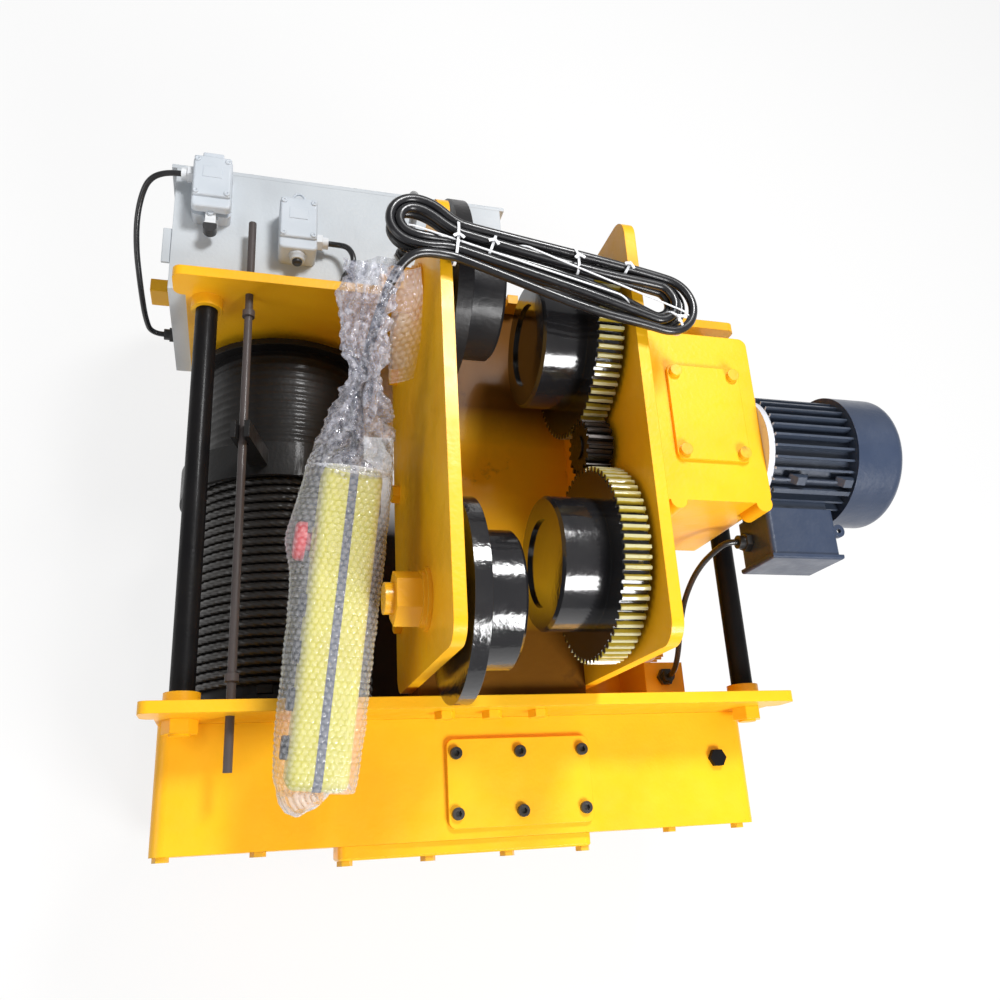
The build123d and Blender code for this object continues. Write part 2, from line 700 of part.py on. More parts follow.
def rope_station(turn):
    """Point and direction of the rope after some turns from its start, on top of the drum."""
    angle = 2 * pi * turn
    point = Vector(DRUM_X + ROPE_R * sin(angle), ROPE_START_Y + ROPE_PITCH * turn,
                   SHAFT_Z + ROPE_R * cos(angle))
    way = Vector(ROPE_R * cos(angle), ROPE_PITCH / (2 * pi), -ROPE_R * sin(angle))
    return point, way.normalized()


with BuildPart() as drum:
    disc(along("Y", (DRUM_X, DRUM_START, SHAFT_Z)), DRUM_R, DRUM_L)
    for y in (DRUM_START, -DRUM_START - DRUM_FLANGE_T):
        disc(along("Y", (DRUM_X, y, SHAFT_Z)), DRUM_FLANGE_R, DRUM_FLANGE_T)
    disc(along("Y", (DRUM_X, DRUM_START + DRUM_DISC_T, SHAFT_Z)), DRUM_R - DRUM_WALL,
         DRUM_L - 2 * DRUM_DISC_T, Mode.SUBTRACT)
    for hole in range(DISC_HOLES):
        angle = 2 * pi * hole / DISC_HOLES
        place = (DRUM_X + DISC_HOLE_CIRCLE_R * cos(angle), DRUM_START,
                 SHAFT_Z + DISC_HOLE_CIRCLE_R * sin(angle))
        disc(along("Y", place), DISC_HOLE_R, DRUM_L, Mode.SUBTRACT)
    disc(along("Y", (DRUM_X, DRUM_JOURNAL_Y, SHAFT_Z)), JOURNAL_R, DRUM_FAR_Y - DRUM_JOURNAL_Y)
    for turn, side in ((0, -1), (ROPE_TURNS, 1)):
        point, way = rope_station(turn)
        seat = Plane(origin=point + way * side * (ROPE_D + ANCHOR_L / 2), x_dir=way, z_dir=(0, 0, 1))
        with Locations(seat):
            with Locations((0, 0, (ANCHOR_H - 2 * ROPE_D) / 2)):
                Box(ANCHOR_L, ANCHOR_W, ROPE_D + ANCHOR_H)
save("drum", drum)

with BuildPart() as drum_gear:
    plane = along("-Y", (DRUM_X, DRUM_GEAR_Y, SHAFT_Z))
    extrude(gear_face(plane, DRUM_TEETH, DRUM_MODULE, 0), amount=DRUM_GEAR_FACE)
    disc(plane, JOURNAL_R, DRUM_GEAR_FACE, Mode.SUBTRACT)
save("drum_gear", drum_gear)

hoist_rope = wound_tube("hoist_rope", [rope_station(half / 2) for half in range(2 * ROPE_TURNS + 1)], ROPE_D, 4)
save("hoist_rope", hoist_rope)

# Rope guide ring with an arm whose two prongs reach round the limit rod
ROD_DX = ROD_X - DRUM_X
ROD_DZ = ROD_Z - SHAFT_Z
ROD_REACH = sqrt(ROD_DX ** 2 + ROD_DZ ** 2)
with BuildPart() as rope_guide:
    ring = along("Y", (DRUM_X, GUIDE_Y - GUIDE_W / 2, SHAFT_Z))
    disc(ring, GUIDE_IN_R + GUIDE_WALL, GUIDE_W)
    disc(ring, GUIDE_IN_R, GUIDE_W, Mode.SUBTRACT)
    arm_end = ROD_REACH - ROD_R - ARM_GAP
    arm_start = GUIDE_IN_R + GUIDE_WALL / 2
    prong_out = ROD_R + PRONG_GAP + PRONG_T
    with Locations(Plane(origin=(DRUM_X, GUIDE_Y, SHAFT_Z), x_dir=(ROD_DX, 0, ROD_DZ), z_dir=(0, 1, 0))):
        with Locations(((arm_start + arm_end) / 2, 0, 0)):
            Box(arm_end - arm_start, 2 * prong_out, GUIDE_ARM_T)
        for side in (-1, 1):
            with Locations((arm_end + FIT + PRONG_L / 2, side * (prong_out - PRONG_T / 2), 0)):
                Box(PRONG_L, PRONG_T, GUIDE_ARM_T)
save("rope_guide", rope_guide)

with BuildPart() as limit_rod:
    for side in (-1, 1):
        disc(along("Y", (ROD_X, side * ROD_STOP_Y - ROD_STOP_L / 2, ROD_Z)), ROD_STOP_R, ROD_STOP_L)
    disc(along("Y", (ROD_X, ROD_NEAR_Y, ROD_Z)), ROD_R + FIT, ROD_FAR_Y - ROD_NEAR_Y, Mode.SUBTRACT)
    disc(along("Y", (ROD_X, ROD_NEAR_Y, ROD_Z)), ROD_R, ROD_FAR_Y - ROD_NEAR_Y)
save("limit_rod", limit_rod)

# Gear shafts in the hoist gear case
SHAFT_FRONT = POCKET_Y + SHAFT_END_GAP
SHAFT_BACK = NEAR_IN - SHAFT_END_GAP
SECOND_PHASE = mesh_phase(0, DRUM_TEETH, SECOND_PINION_TEETH, 0)
with BuildPart() as second_shaft:
    disc(along("Y", (SECOND_X, SHAFT_FRONT, SHAFT_Z)), JOURNAL_R, SHAFT_BACK - SHAFT_FRONT)
    disc(along("-Y", (SECOND_X, DRUM_GEAR_Y, SHAFT_Z)), SEAT_R, DRUM_GEAR_Y - FIRST_GEAR_Y - LAYER_GAP)
    plane = along("-Y", (SECOND_X, DRUM_GEAR_Y, SHAFT_Z))
    pinion = gear_face(plane, SECOND_PINION_TEETH, DRUM_MODULE, SECOND_PHASE)
    extrude(pinion, amount=DRUM_GEAR_FACE)
save("second_shaft", second_shaft)

with BuildPart() as second_gear:
    plane = along("-Y", (SECOND_X, SECOND_GEAR_Y, SHAFT_Z))
    extrude(gear_face(plane, SECOND_TEETH, SECOND_MODULE, 0), amount=SECOND_GEAR_FACE)
    disc(plane, SEAT_R, SECOND_GEAR_FACE, Mode.SUBTRACT)
save("second_gear", second_gear)

FIRST_PHASE = mesh_phase(0, SECOND_TEETH, FIRST_PINION_TEETH, 0)
with BuildPart() as first_shaft:
    disc(along("Y", (FIRST_X, SHAFT_FRONT, SHAFT_Z)), JOURNAL_R, SHAFT_BACK - SHAFT_FRONT)
    disc(along("-Y", (FIRST_X, SECOND_GEAR_Y, SHAFT_Z)), SEAT_R, SECOND_GEAR_Y - FIRST_GEAR_Y + FIRST_GEAR_FACE)
    plane = along("-Y", (FIRST_X, SECOND_GEAR_Y, SHAFT_Z))
    pinion = gear_face(plane, FIRST_PINION_TEETH, SECOND_MODULE, FIRST_PHASE)
    extrude(pinion, amount=SECOND_GEAR_FACE)
save("first_shaft", first_shaft)

with BuildPart() as first_gear:
    plane = along("-Y", (FIRST_X, FIRST_GEAR_Y, SHAFT_Z))
    extrude(gear_face(plane, FIRST_TEETH, FIRST_MODULE, 0), amount=FIRST_GEAR_FACE)
    disc(plane, SEAT_R, FIRST_GEAR_FACE, Mode.SUBTRACT)
save("first_gear", first_gear)

# Hoist motor
HOIST_FRONT = NEAR_IN + HOIST_FLANGE_T
HOIST_BODY_Y = HOIST_FRONT + HOIST_NECK_L
HOIST_REAR = HOIST_BODY_Y + HOIST_BODY_L
HOIST_CORE_Y = (HOIST_BODY_Y + HOIST_REAR - HOIST_CORE_L) / 2
HOIST_PHASE = mesh_phase(0, FIRST_TEETH, HOIST_ROTOR_TEETH, 0)
with BuildPart() as hoist_rotor:
    disc(along("Y", (MOTOR_X, SHAFT_FRONT, SHAFT_Z)), JOURNAL_R, HOIST_REAR - SHAFT_END_GAP - SHAFT_FRONT)
    plane = along("-Y", (MOTOR_X, FIRST_GEAR_Y, SHAFT_Z))
    pinion = gear_face(plane, HOIST_ROTOR_TEETH, FIRST_MODULE, HOIST_PHASE)
    extrude(pinion, amount=FIRST_GEAR_FACE)
    disc(along("Y", (MOTOR_X, HOIST_CORE_Y, SHAFT_Z)), HOIST_CORE_R, HOIST_CORE_L)
save("hoist_rotor", hoist_rotor)

HOIST_BOX_RIGHT = MOTOR_X + HOIST_FLANGE_W / 2
HOIST_BOX_TOP = SHAFT_Z + HOIST_FLANGE_H / 2 + HOIST_BOX_RISE
with BuildPart() as hoist_motor_housing:
    block((MOTOR_X - HOIST_FLANGE_W / 2, NEAR_IN, SHAFT_Z - HOIST_FLANGE_H / 2),
          (MOTOR_X + HOIST_FLANGE_W / 2, HOIST_FRONT, SHAFT_Z + HOIST_FLANGE_H / 2))
    disc(along("Y", (MOTOR_X, HOIST_FRONT, SHAFT_Z)), HOIST_NECK_R, HOIST_NECK_L)
    disc(along("Y", (MOTOR_X, HOIST_BODY_Y, SHAFT_Z)), HOIST_BODY_R, HOIST_BODY_L)
    for fin in range(HOIST_FINS):
        way = 2 * pi * fin / HOIST_FINS
        plane = Plane(origin=(MOTOR_X, HOIST_BODY_Y, SHAFT_Z), x_dir=(cos(way), 0, sin(way)), z_dir=(0, 1, 0))
        with Locations(plane):
            with Locations(((HOIST_BODY_R - HOIST_WALL + HOIST_FIN_R) / 2, 0, HOIST_BODY_L / 2)):
                Box(HOIST_FIN_R - HOIST_BODY_R + HOIST_WALL, HOIST_FIN_T, HOIST_BODY_L)
    disc(along("Y", (MOTOR_X, HOIST_REAR, SHAFT_Z)), HOIST_HOOD_R, HOIST_HOOD_L)
    fillet(hoist_motor_housing.edges().filter_by(GeomType.CIRCLE).sort_by(Axis.Y)[-1], HOIST_WALL)
    block((HOIST_BOX_RIGHT - HOIST_BOX_W, HOIST_FRONT, SHAFT_Z),
          (HOIST_BOX_RIGHT, HOIST_FRONT + HOIST_BOX_D, HOIST_BOX_TOP))
    disc(along("Y", (MOTOR_X, HOIST_BODY_Y + HOIST_WALL, SHAFT_Z)), HOIST_BODY_R - HOIST_WALL,
         HOIST_BODY_L - HOIST_WALL - BEARING_W, Mode.SUBTRACT)
    disc(along("Y", (MOTOR_X, NEAR_IN, SHAFT_Z)), BEARING_R, HOIST_REAR - NEAR_IN, Mode.SUBTRACT)
save("hoist_motor_housing", hoist_motor_housing)

# Ball bearings of the drum, the gear shafts, the hoist motor and the wheels
BEARING_SEATS = [along("Y", (x, NEAR_IN - BEARING_W, SHAFT_Z)) for x in (DRUM_X, SECOND_X, FIRST_X, MOTOR_X)]
BEARING_SEATS += [along("Y", (x, POCKET_Y, SHAFT_Z)) for x in (SECOND_X, FIRST_X, MOTOR_X)]
BEARING_SEATS += [along("Y", (DRUM_X, FAR_OUT - BEARING_W, SHAFT_Z))]
BEARING_SEATS += [along("Y", (MOTOR_X, HOIST_REAR - BEARING_W, SHAFT_Z))]
PLAIN_AXLES = [PLAIN_SHIFT + side * PLAIN_BASE / 2 for side in (-1, 1)]
GEARED_AXLES = [side * GEARED_BASE / 2 for side in (-1, 1)]
WHEEL_BEARING = WHEEL_FACE + WHEEL_CAP + 2
BEARING_SEATS += [along("-X", (-WHEEL_BEARING, y, AXLE_Z)) for y in PLAIN_AXLES]
BEARING_SEATS += [along("X", (WHEEL_BEARING, y, AXLE_Z)) for y in GEARED_AXLES]
with BuildPart() as ball_bearings:
    for seat in BEARING_SEATS:
        disc(seat, BEARING_R - FIT, BEARING_W)
        disc(seat, BEARING_BORE_R, BEARING_W, Mode.SUBTRACT)
save("ball_bearings", ball_bearings)

# Trolley plates
with BuildPart() as left_trolley_plate:
    with BuildSketch(Plane.YZ.offset(LEFT_OUT)):
        with Locations((0, (TROLLEY_TOP + GIRDER_BOTTOM) / 2)):
            RectangleRounded(TROLLEY_L, TROLLEY_TOP - GIRDER_BOTTOM, TROLLEY_CORNER_R)
    extrude(amount=TROLLEY_T)
    for y in PLAIN_AXLES:
        disc(along("X", (LEFT_OUT, y, AXLE_Z)), BEARING_BORE_R, TROLLEY_T, Mode.SUBTRACT)
    for y, z in PLATE_BOLTS:
        disc(along("X", (LEFT_OUT, y, z)), BOLT_R, TROLLEY_T, Mode.SUBTRACT)
save("left_trolley_plate", left_trolley_plate)

with BuildPart() as right_trolley_plate:
    with BuildSketch(Plane.YZ.offset(RIGHT_IN)):
        with Locations((0, (TROLLEY_TOP + GIRDER_BOTTOM) / 2)):
            RectangleRounded(TROLLEY_L, TROLLEY_TOP - GIRDER_BOTTOM, TROLLEY_CORNER_R)
    extrude(amount=TROLLEY_T)
    for y in GEARED_AXLES:
        disc(along("X", (RIGHT_IN, y, AXLE_Z)), BEARING_BORE_R, TROLLEY_T, Mode.SUBTRACT)
    for y, z in PLATE_BOLTS:
        disc(along("X", (RIGHT_IN, y, z)), BOLT_R, TROLLEY_T, Mode.SUBTRACT)
    disc(along("X", (RIGHT_IN, 0, PINION_Z)), PINION_SHAFT_R + FIT, TROLLEY_T, Mode.SUBTRACT)
    disc(along("X", (RIGHT_IN, LAY_Y, PINION_Z)), LAY_SHAFT_R + FIT, TROLLEY_T, Mode.SUBTRACT)
save("right_trolley_plate", right_trolley_plate)

# Axles and axle nuts
AXLE_TIP = WHEEL_BEARING - 1
NUT_SEAT = LEFT_OUT - 2 * WASHER_T
with BuildPart() as axles:
    for y in PLAIN_AXLES:
        disc(along("-X", (-AXLE_TIP, y, AXLE_Z)), BEARING_BORE_R, AXLE_NUT_L + AXLE_END - NUT_SEAT - AXLE_TIP)
        shoulder = -WHEEL_BEARING - BEARING_W
        disc(along("-X", (shoulder, y, AXLE_Z)), AXLE_SHOULDER_R, shoulder - LEFT_IN)
    for y in GEARED_AXLES:
        disc(along("X", (AXLE_TIP, y, AXLE_Z)), BEARING_BORE_R, RIGHT_OUT - AXLE_TIP)
        shoulder = WHEEL_BEARING + BEARING_W
        disc(along("X", (shoulder, y, AXLE_Z)), AXLE_SHOULDER_R, RIGHT_IN - shoulder)
save("axles", axles)

with BuildPart() as axle_nuts:
    for y in PLAIN_AXLES:
        disc(along("-X", (LEFT_OUT, y, AXLE_Z)), WASHER_R, WASHER_T)
        disc(along("-X", (LEFT_OUT - WASHER_T, y, AXLE_Z)), WASHER_R * 0.9, WASHER_T)
        extrude(hexagon(along("-X", (NUT_SEAT, y, AXLE_Z)), AXLE_NUT_AF), amount=AXLE_NUT_L)
        disc(along("-X", (LEFT_OUT, y, AXLE_Z)), BEARING_BORE_R, AXLE_NUT_L + 2 * WASHER_T, Mode.SUBTRACT)
save("axle_nuts", axle_nuts)


# Wheels
def hollow_wheel(way, side, y, outer):
    """Cuts a wheel's dish and the bore for its bearing, on the side given."""
    face = along(way, (side * WHEEL_FACE, y, AXLE_Z))
    disc(face, DISH_R, DISH_DEPTH, Mode.SUBTRACT)
    bore = along(way, (side * (WHEEL_FACE + WHEEL_CAP), y, AXLE_Z))
    disc(bore, BEARING_R, outer - WHEEL_CAP, Mode.SUBTRACT)


def plain_wheel(y):
    """A flanged wheel on the left."""
    with BuildPart() as wheel:
        disc(along("-X", (-WHEEL_FACE, y, AXLE_Z)), TREAD_R, TREAD_W)
        disc(along("-X", (-TREAD_END, y, AXLE_Z)), FLANGE_R, FLANGE_W)
        chamfer(wheel.edges().filter_by(GeomType.CIRCLE).sort_by(Axis.X)[-1], TREAD_CHAMFER)
        hollow_wheel("-X", -1, y, TREAD_W + FLANGE_W)
    return wheel


def geared_wheel(y, phase):
    """A wheel with a gear ring on the right."""
    with BuildPart() as wheel:
        disc(along("X", (WHEEL_FACE, y, AXLE_Z)), TREAD_R, GEARED_TREAD_W)
        chamfer(wheel.edges().filter_by(GeomType.CIRCLE).sort_by(Axis.X)[0], TREAD_CHAMFER)
        ring = gear_face(along("X", (GEAR_START, y, AXLE_Z)), WHEEL_TEETH, WHEEL_MODULE, phase)
        extrude(ring, amount=GEAR_FACE)
        hollow_wheel("X", 1, y, GEARED_TREAD_W + GEAR_FACE)
    return wheel


save("near_plain_wheel", plain_wheel(PLAIN_AXLES[0]))
save("far_plain_wheel", plain_wheel(PLAIN_AXLES[1]))
PINION_PHASE = 90
PINION_RISE = PINION_Z - AXLE_Z
WAY_TO_NEAR = degrees(atan2(-PINION_RISE, GEARED_AXLES[0]))
WAY_TO_FAR = degrees(atan2(-PINION_RISE, GEARED_AXLES[1]))
NEAR_PHASE = mesh_phase(PINION_PHASE, PINION_TEETH, WHEEL_TEETH, WAY_TO_NEAR)
FAR_PHASE = mesh_phase(PINION_PHASE, PINION_TEETH, WHEEL_TEETH, WAY_TO_FAR)
save("near_geared_wheel", geared_wheel(GEARED_AXLES[0], NEAR_PHASE))
save("far_geared_wheel", geared_wheel(GEARED_AXLES[1], FAR_PHASE))

# Trolley drive: pinion shaft, output gear and layshaft
OUTPUT_X = RIGHT_OUT + OUTPUT_START
INPUT_X = RIGHT_OUT + INPUT_START
GEARCASE_IN = GEARCASE_END - GEARCASE_WALL
with BuildPart() as pinion_shaft:
    shaft_start = GEAR_START - SHAFT_PROUD
    shaft_end = OUTPUT_X + OUTPUT_FACE + SHAFT_PROUD
    disc(along("X", (shaft_start, 0, PINION_Z)), PINION_SHAFT_R, shaft_end - shaft_start)
    pinion = gear_face(along("X", (GEAR_START, 0, PINION_Z)), PINION_TEETH, WHEEL_MODULE, PINION_PHASE)
    extrude(pinion, amount=GEAR_FACE)
save("pinion_shaft", pinion_shaft)

with BuildPart() as output_gear:
    plane = along("X", (OUTPUT_X, 0, PINION_Z))
    extrude(gear_face(plane, OUTPUT_TEETH, OUTPUT_MODULE, 0), amount=OUTPUT_FACE)
    disc(plane, PINION_SHAFT_R, OUTPUT_FACE, Mode.SUBTRACT)
save("output_gear", output_gear)

LAY_PHASE = mesh_phase(0, OUTPUT_TEETH, LAY_PINION_TEETH, 0)
with BuildPart() as layshaft:
    disc(along("X", (RIGHT_IN + SHAFT_PROUD, LAY_Y, PINION_Z)), LAY_SHAFT_R,
         GEARCASE_IN - RIGHT_IN - 2 * SHAFT_PROUD)
    disc(along("X", (OUTPUT_X, LAY_Y, PINION_Z)), LAY_SEAT_R, INPUT_X - OUTPUT_X)
    pinion = gear_face(along("X", (OUTPUT_X, LAY_Y, PINION_Z)), LAY_PINION_TEETH, OUTPUT_MODULE, LAY_PHASE)
    extrude(pinion, amount=OUTPUT_FACE)
    gear = gear_face(along("X", (INPUT_X, LAY_Y, PINION_Z)), LAY_GEAR_TEETH, INPUT_MODULE, 0)
    extrude(gear, amount=INPUT_FACE)
save("layshaft", layshaft)

# Trolley gear case and lid
with BuildPart() as trolley_gearbox:
    block((RIGHT_OUT, GEARCASE_NEAR, GEARCASE_BOTTOM), (GEARCASE_END, GEARCASE_FAR, GEARCASE_TOP))
    fillet(trolley_gearbox.edges().filter_by(Axis.Z).group_by(Axis.X)[-1], GEARCASE_CORNER_R)
    for x in (RIGHT_OUT + CASE_BOSS_X, GEARCASE_END - CASE_BOSS_R):
        disc(along("Z", (x, GEARCASE_NEAR, GEARCASE_TOP - CASE_BOSS_H)), CASE_BOSS_R, CASE_BOSS_H)
    block((RIGHT_OUT, GEARCASE_NEAR + GEARCASE_WALL, GEARCASE_BOTTOM + GEARCASE_WALL),
          (GEARCASE_IN, GEARCASE_FAR - GEARCASE_WALL, GEARCASE_TOP - GEARCASE_WALL), Mode.SUBTRACT)
    block((LID_X - LID_W / 2 + LID_EDGE, LID_Y - LID_D / 2 + LID_EDGE, GEARCASE_TOP - GEARCASE_WALL),
          (LID_X + LID_W / 2 - LID_EDGE, LID_Y + LID_D / 2 - LID_EDGE, GEARCASE_TOP), Mode.SUBTRACT)
    disc(along("-X", (GEARCASE_IN, LAY_Y, PINION_Z)), LAY_BOSS_R, LAY_BOSS_L)
    disc(along("-X", (GEARCASE_IN, LAY_Y, PINION_Z)), LAY_SHAFT_R + FIT, LAY_BOSS_L, Mode.SUBTRACT)
    disc(along("X", (GEARCASE_IN, 0, PINION_Z)), TROLLEY_SHAFT_R + FIT, GEARCASE_WALL, Mode.SUBTRACT)
save("trolley_gearbox", trolley_gearbox)

with BuildPart() as gearbox_lid:
    with BuildSketch(Plane.XY.offset(GEARCASE_TOP)):
        with Locations((LID_X, LID_Y)):
            RectangleRounded(LID_W, LID_D, GEARCASE_WALL)
    extrude(amount=LID_T)
    for x, y in LID_SCREWS:
        disc(along("Z", (x, y, GEARCASE_TOP)), SCREW_R, LID_T, Mode.SUBTRACT)
save("gearbox_lid", gearbox_lid)

# Trolley motor: rotor with fan, finned housing, fan cover and terminal box
TROLLEY_ROTOR_PHASE = mesh_phase(0, LAY_GEAR_TEETH, TROLLEY_ROTOR_TEETH, 180)
MOTOR_CORE_X = GEARCASE_END + MOTOR_FLANGE_T + (MOTOR_L - MOTOR_FLANGE_T - MOTOR_REAR_T - MOTOR_CORE_L) / 2
FAN_X = MOTOR_END + FAN_START
with BuildPart() as trolley_rotor:
    disc(along("X", (INPUT_X - SHAFT_PROUD, 0, PINION_Z)), TROLLEY_SHAFT_R,
         FAN_X + FAN_BLADE_W - INPUT_X + SHAFT_PROUD)
    plane = along("X", (INPUT_X, 0, PINION_Z))
    pinion = gear_face(plane, TROLLEY_ROTOR_TEETH, INPUT_MODULE, TROLLEY_ROTOR_PHASE)
    extrude(pinion, amount=INPUT_FACE)
    disc(along("X", (MOTOR_CORE_X, 0, PINION_Z)), MOTOR_CORE_R, MOTOR_CORE_L)
    disc(along("X", (FAN_X, 0, PINION_Z)), FAN_R, FAN_T)
    for blade in range(FAN_BLADES):
        way = 2 * pi * blade / FAN_BLADES
        plane = Plane(origin=(FAN_X, 0, PINION_Z), x_dir=(0, cos(way), sin(way)), z_dir=(1, 0, 0))
        with Locations(plane):
            with Locations((FAN_R / 2, 0, FAN_BLADE_W / 2)):
                Box(FAN_R - FAN_T, FAN_T / 2, FAN_BLADE_W)
save("trolley_rotor", trolley_rotor)

with BuildPart() as trolley_motor_housing:
    disc(along("X", (GEARCASE_END, 0, PINION_Z)), MOTOR_FLANGE_R, MOTOR_FLANGE_T)
    disc(along("X", (GEARCASE_END, 0, PINION_Z)), MOTOR_BODY_R, MOTOR_L)
    disc(along("-X", (MOTOR_END, 0, PINION_Z)), HOOD_R - HOOD_WALL, MOTOR_REAR_T)
    fin_l = MOTOR_L - MOTOR_FLANGE_T - MOTOR_REAR_T
    for fin in range(MOTOR_FINS):
        way = 2 * pi * (fin + 0.5) / MOTOR_FINS
        plane = Plane(origin=(GEARCASE_END + MOTOR_FLANGE_T, 0, PINION_Z), x_dir=(0, cos(way), sin(way)),
                      z_dir=(1, 0, 0))
        with Locations(plane):
            with Locations(((MOTOR_BODY_R - MOTOR_WALL + MOTOR_FIN_R) / 2, 0, fin_l / 2)):
                Box(MOTOR_FIN_R - MOTOR_BODY_R + MOTOR_WALL, MOTOR_FIN_T, fin_l)
    block((BOX_X - PAD_L / 2, PAD_Y, PINION_Z - PAD_H / 2), (BOX_X + PAD_L / 2, 0, PINION_Z + PAD_H / 2))
    disc(along("X", (GEARCASE_END + MOTOR_FLANGE_T, 0, PINION_Z)), MOTOR_BODY_R - MOTOR_WALL, fin_l,
         Mode.SUBTRACT)
    disc(along("X", (GEARCASE_END, 0, PINION_Z)), TROLLEY_SHAFT_R + FIT, MOTOR_L, Mode.SUBTRACT)
save("trolley_motor_housing", trolley_motor_housing)

HOOD_START = MOTOR_END - MOTOR_REAR_T
HOOD_WHOLE = HOOD_L + MOTOR_REAR_T
with BuildPart() as trolley_fan_cover:
    disc(along("X", (HOOD_START, 0, PINION_Z)), HOOD_R, HOOD_WHOLE)
    fillet(trolley_fan_cover.edges().filter_by(GeomType.CIRCLE).sort_by(Axis.X)[-1], HOOD_ROUND_R)
    disc(along("X", (HOOD_START, 0, PINION_Z)), HOOD_R - HOOD_WALL, HOOD_WHOLE - HOOD_ROUND_R, Mode.SUBTRACT)
    disc(along("X", (HOOD_START, 0, PINION_Z)), HOOD_R - HOOD_ROUND_R, HOOD_WHOLE - HOOD_WALL, Mode.SUBTRACT)
    for slot in range(HOOD_SLOTS):
        way = 2 * pi * slot / HOOD_SLOTS
        plane = Plane(origin=(HOOD_START + HOOD_WHOLE, 0, PINION_Z), x_dir=(0, cos(way), sin(way)),
                      z_dir=(1, 0, 0))
        with Locations(plane):
            with Locations(((HOOD_SLOT_IN + HOOD_SLOT_OUT) / 2, 0, 0)):
                Box(HOOD_SLOT_OUT - HOOD_SLOT_IN, HOOD_SLOT_W, 4 * HOOD_WALL, mode=Mode.SUBTRACT)
save("trolley_fan_cover", trolley_fan_cover)

BOX_FRONT = PAD_Y - BOX_DEPTH
BOX_LEFT = BOX_X - BOX_L / 2
BOX_TOP = PINION_Z + BOX_H / 2
with BuildPart() as terminal_box:
    block((BOX_LEFT, BOX_FRONT, BOX_TOP - BOX_H), (BOX_LEFT + BOX_L, PAD_Y, BOX_TOP))
    fillet(terminal_box.edges().filter_by(Axis.Y), BOX_LID_T)
    block((BOX_LEFT - BOX_LID_EDGE, BOX_FRONT - BOX_LID_T, BOX_TOP - BOX_H - BOX_LID_EDGE),
          (BOX_LEFT + BOX_L + BOX_LID_EDGE, BOX_FRONT, BOX_TOP + BOX_LID_EDGE))
    fillet(terminal_box.edges().group_by(Axis.Y)[0], BOX_LID_T / 2)
save("terminal_box", terminal_box)

# Control panel
with BuildPart() as panel_box:
    block((PANEL_LEFT, FAR_OUT, PANEL_TOP - PANEL_H), (PANEL_LEFT + PANEL_W, PANEL_BACK, PANEL_TOP))
    block((PANEL_LEFT + PANEL_WALL, FAR_OUT + PANEL_WALL, PANEL_TOP - PANEL_H + PANEL_WALL),
          (PANEL_LEFT + PANEL_W - PANEL_WALL, PANEL_BACK, PANEL_TOP - PANEL_WALL), Mode.SUBTRACT)
save("panel_box", panel_box)

with BuildPart() as panel_cover:
    block((PANEL_LEFT - PANEL_LIP, PANEL_BACK, PANEL_TOP - PANEL_H - PANEL_LIP),
          (PANEL_LEFT + PANEL_W + PANEL_LIP, PANEL_BACK + PANEL_COVER_T, PANEL_TOP))
    fillet(panel_cover.edges().group_by(Axis.Y)[-1], PANEL_WALL)
save("panel_cover", panel_cover)

CONTACTOR_PITCH = (PANEL_W - 2 * PANEL_WALL) / CONTACTORS
with BuildPart() as contactors:
    for place in range(CONTACTORS):
        x = PANEL_LEFT + PANEL_WALL + (place + 0.5) * CONTACTOR_PITCH
        block((x - CONTACTOR_W / 2, FAR_OUT + PANEL_WALL, PANEL_MIDDLE_Z - CONTACTOR_H / 2),
              (x + CONTACTOR_W / 2, FAR_OUT + PANEL_WALL + CONTACTOR_D, PANEL_MIDDLE_Z + CONTACTOR_H / 2))
        face = FAR_OUT + PANEL_WALL + CONTACTOR_D
        block((x - CONTACTOR_W / 3, face, PANEL_MIDDLE_Z - CONTACTOR_H / 4),
              (x + CONTACTOR_W / 3, face + CONTACTOR_KNOB, PANEL_MIDDLE_Z + CONTACTOR_H / 4))
save("contactors", contactors)

# Limit switches with a roller lever on the left one and a plunger on the right one
LEVER_Y = LEFT_SWITCH[1] - SWITCH_L / 2
LEVER_Z = PANEL_TOP + LEVER_RISE
PLUNGER_Y = RIGHT_SWITCH[1] - SWITCH_L / 2
PLUNGER_AXIS = (RIGHT_SWITCH[0], PLUNGER_Y, LEVER_Z)
LEVER_ROOM = 2 * LEVER_PIN_R + GAP
with BuildPart() as limit_switches:
    for x, y in (LEFT_SWITCH, RIGHT_SWITCH):
        with Locations((x, y, PANEL_TOP + SWITCH_H / 2)):
            Box(SWITCH_W, SWITCH_L, SWITCH_H)
    fillet(limit_switches.edges().filter_by(Axis.Z), PANEL_LIP)
    fillet(limit_switches.edges().group_by(Axis.Z)[-1], PANEL_WALL)
    block((LEFT_SWITCH[0] - LEVER_ROOM, LEVER_Y - LEVER_PIN_R, PANEL_TOP),
          (LEFT_SWITCH[0] + LEVER_ROOM, LEVER_Y + LEVER_ROOM, LEVER_Z - LEVER_T / 2 - GAP))
    block((LEFT_SWITCH[0] - SWITCH_W, LEVER_Y - LEVER_PIN_R, LEVER_Z - LEVER_T / 2 - GAP),
          (LEFT_SWITCH[0] + SWITCH_W, LEVER_Y + LEVER_ROOM, LEVER_Z + LEVER_T / 2 + GAP), Mode.SUBTRACT)
    disc(along("Z", (LEFT_SWITCH[0], LEVER_Y, LEVER_Z - LEVER_T)), LEVER_PIN_R, 2 * LEVER_T)
    disc(along("Y", PLUNGER_AXIS), PLUNGER_R + FIT, PLUNGER_IN + PLUNGER_TRAVEL + GAP, Mode.SUBTRACT)
save("limit_switches", limit_switches)

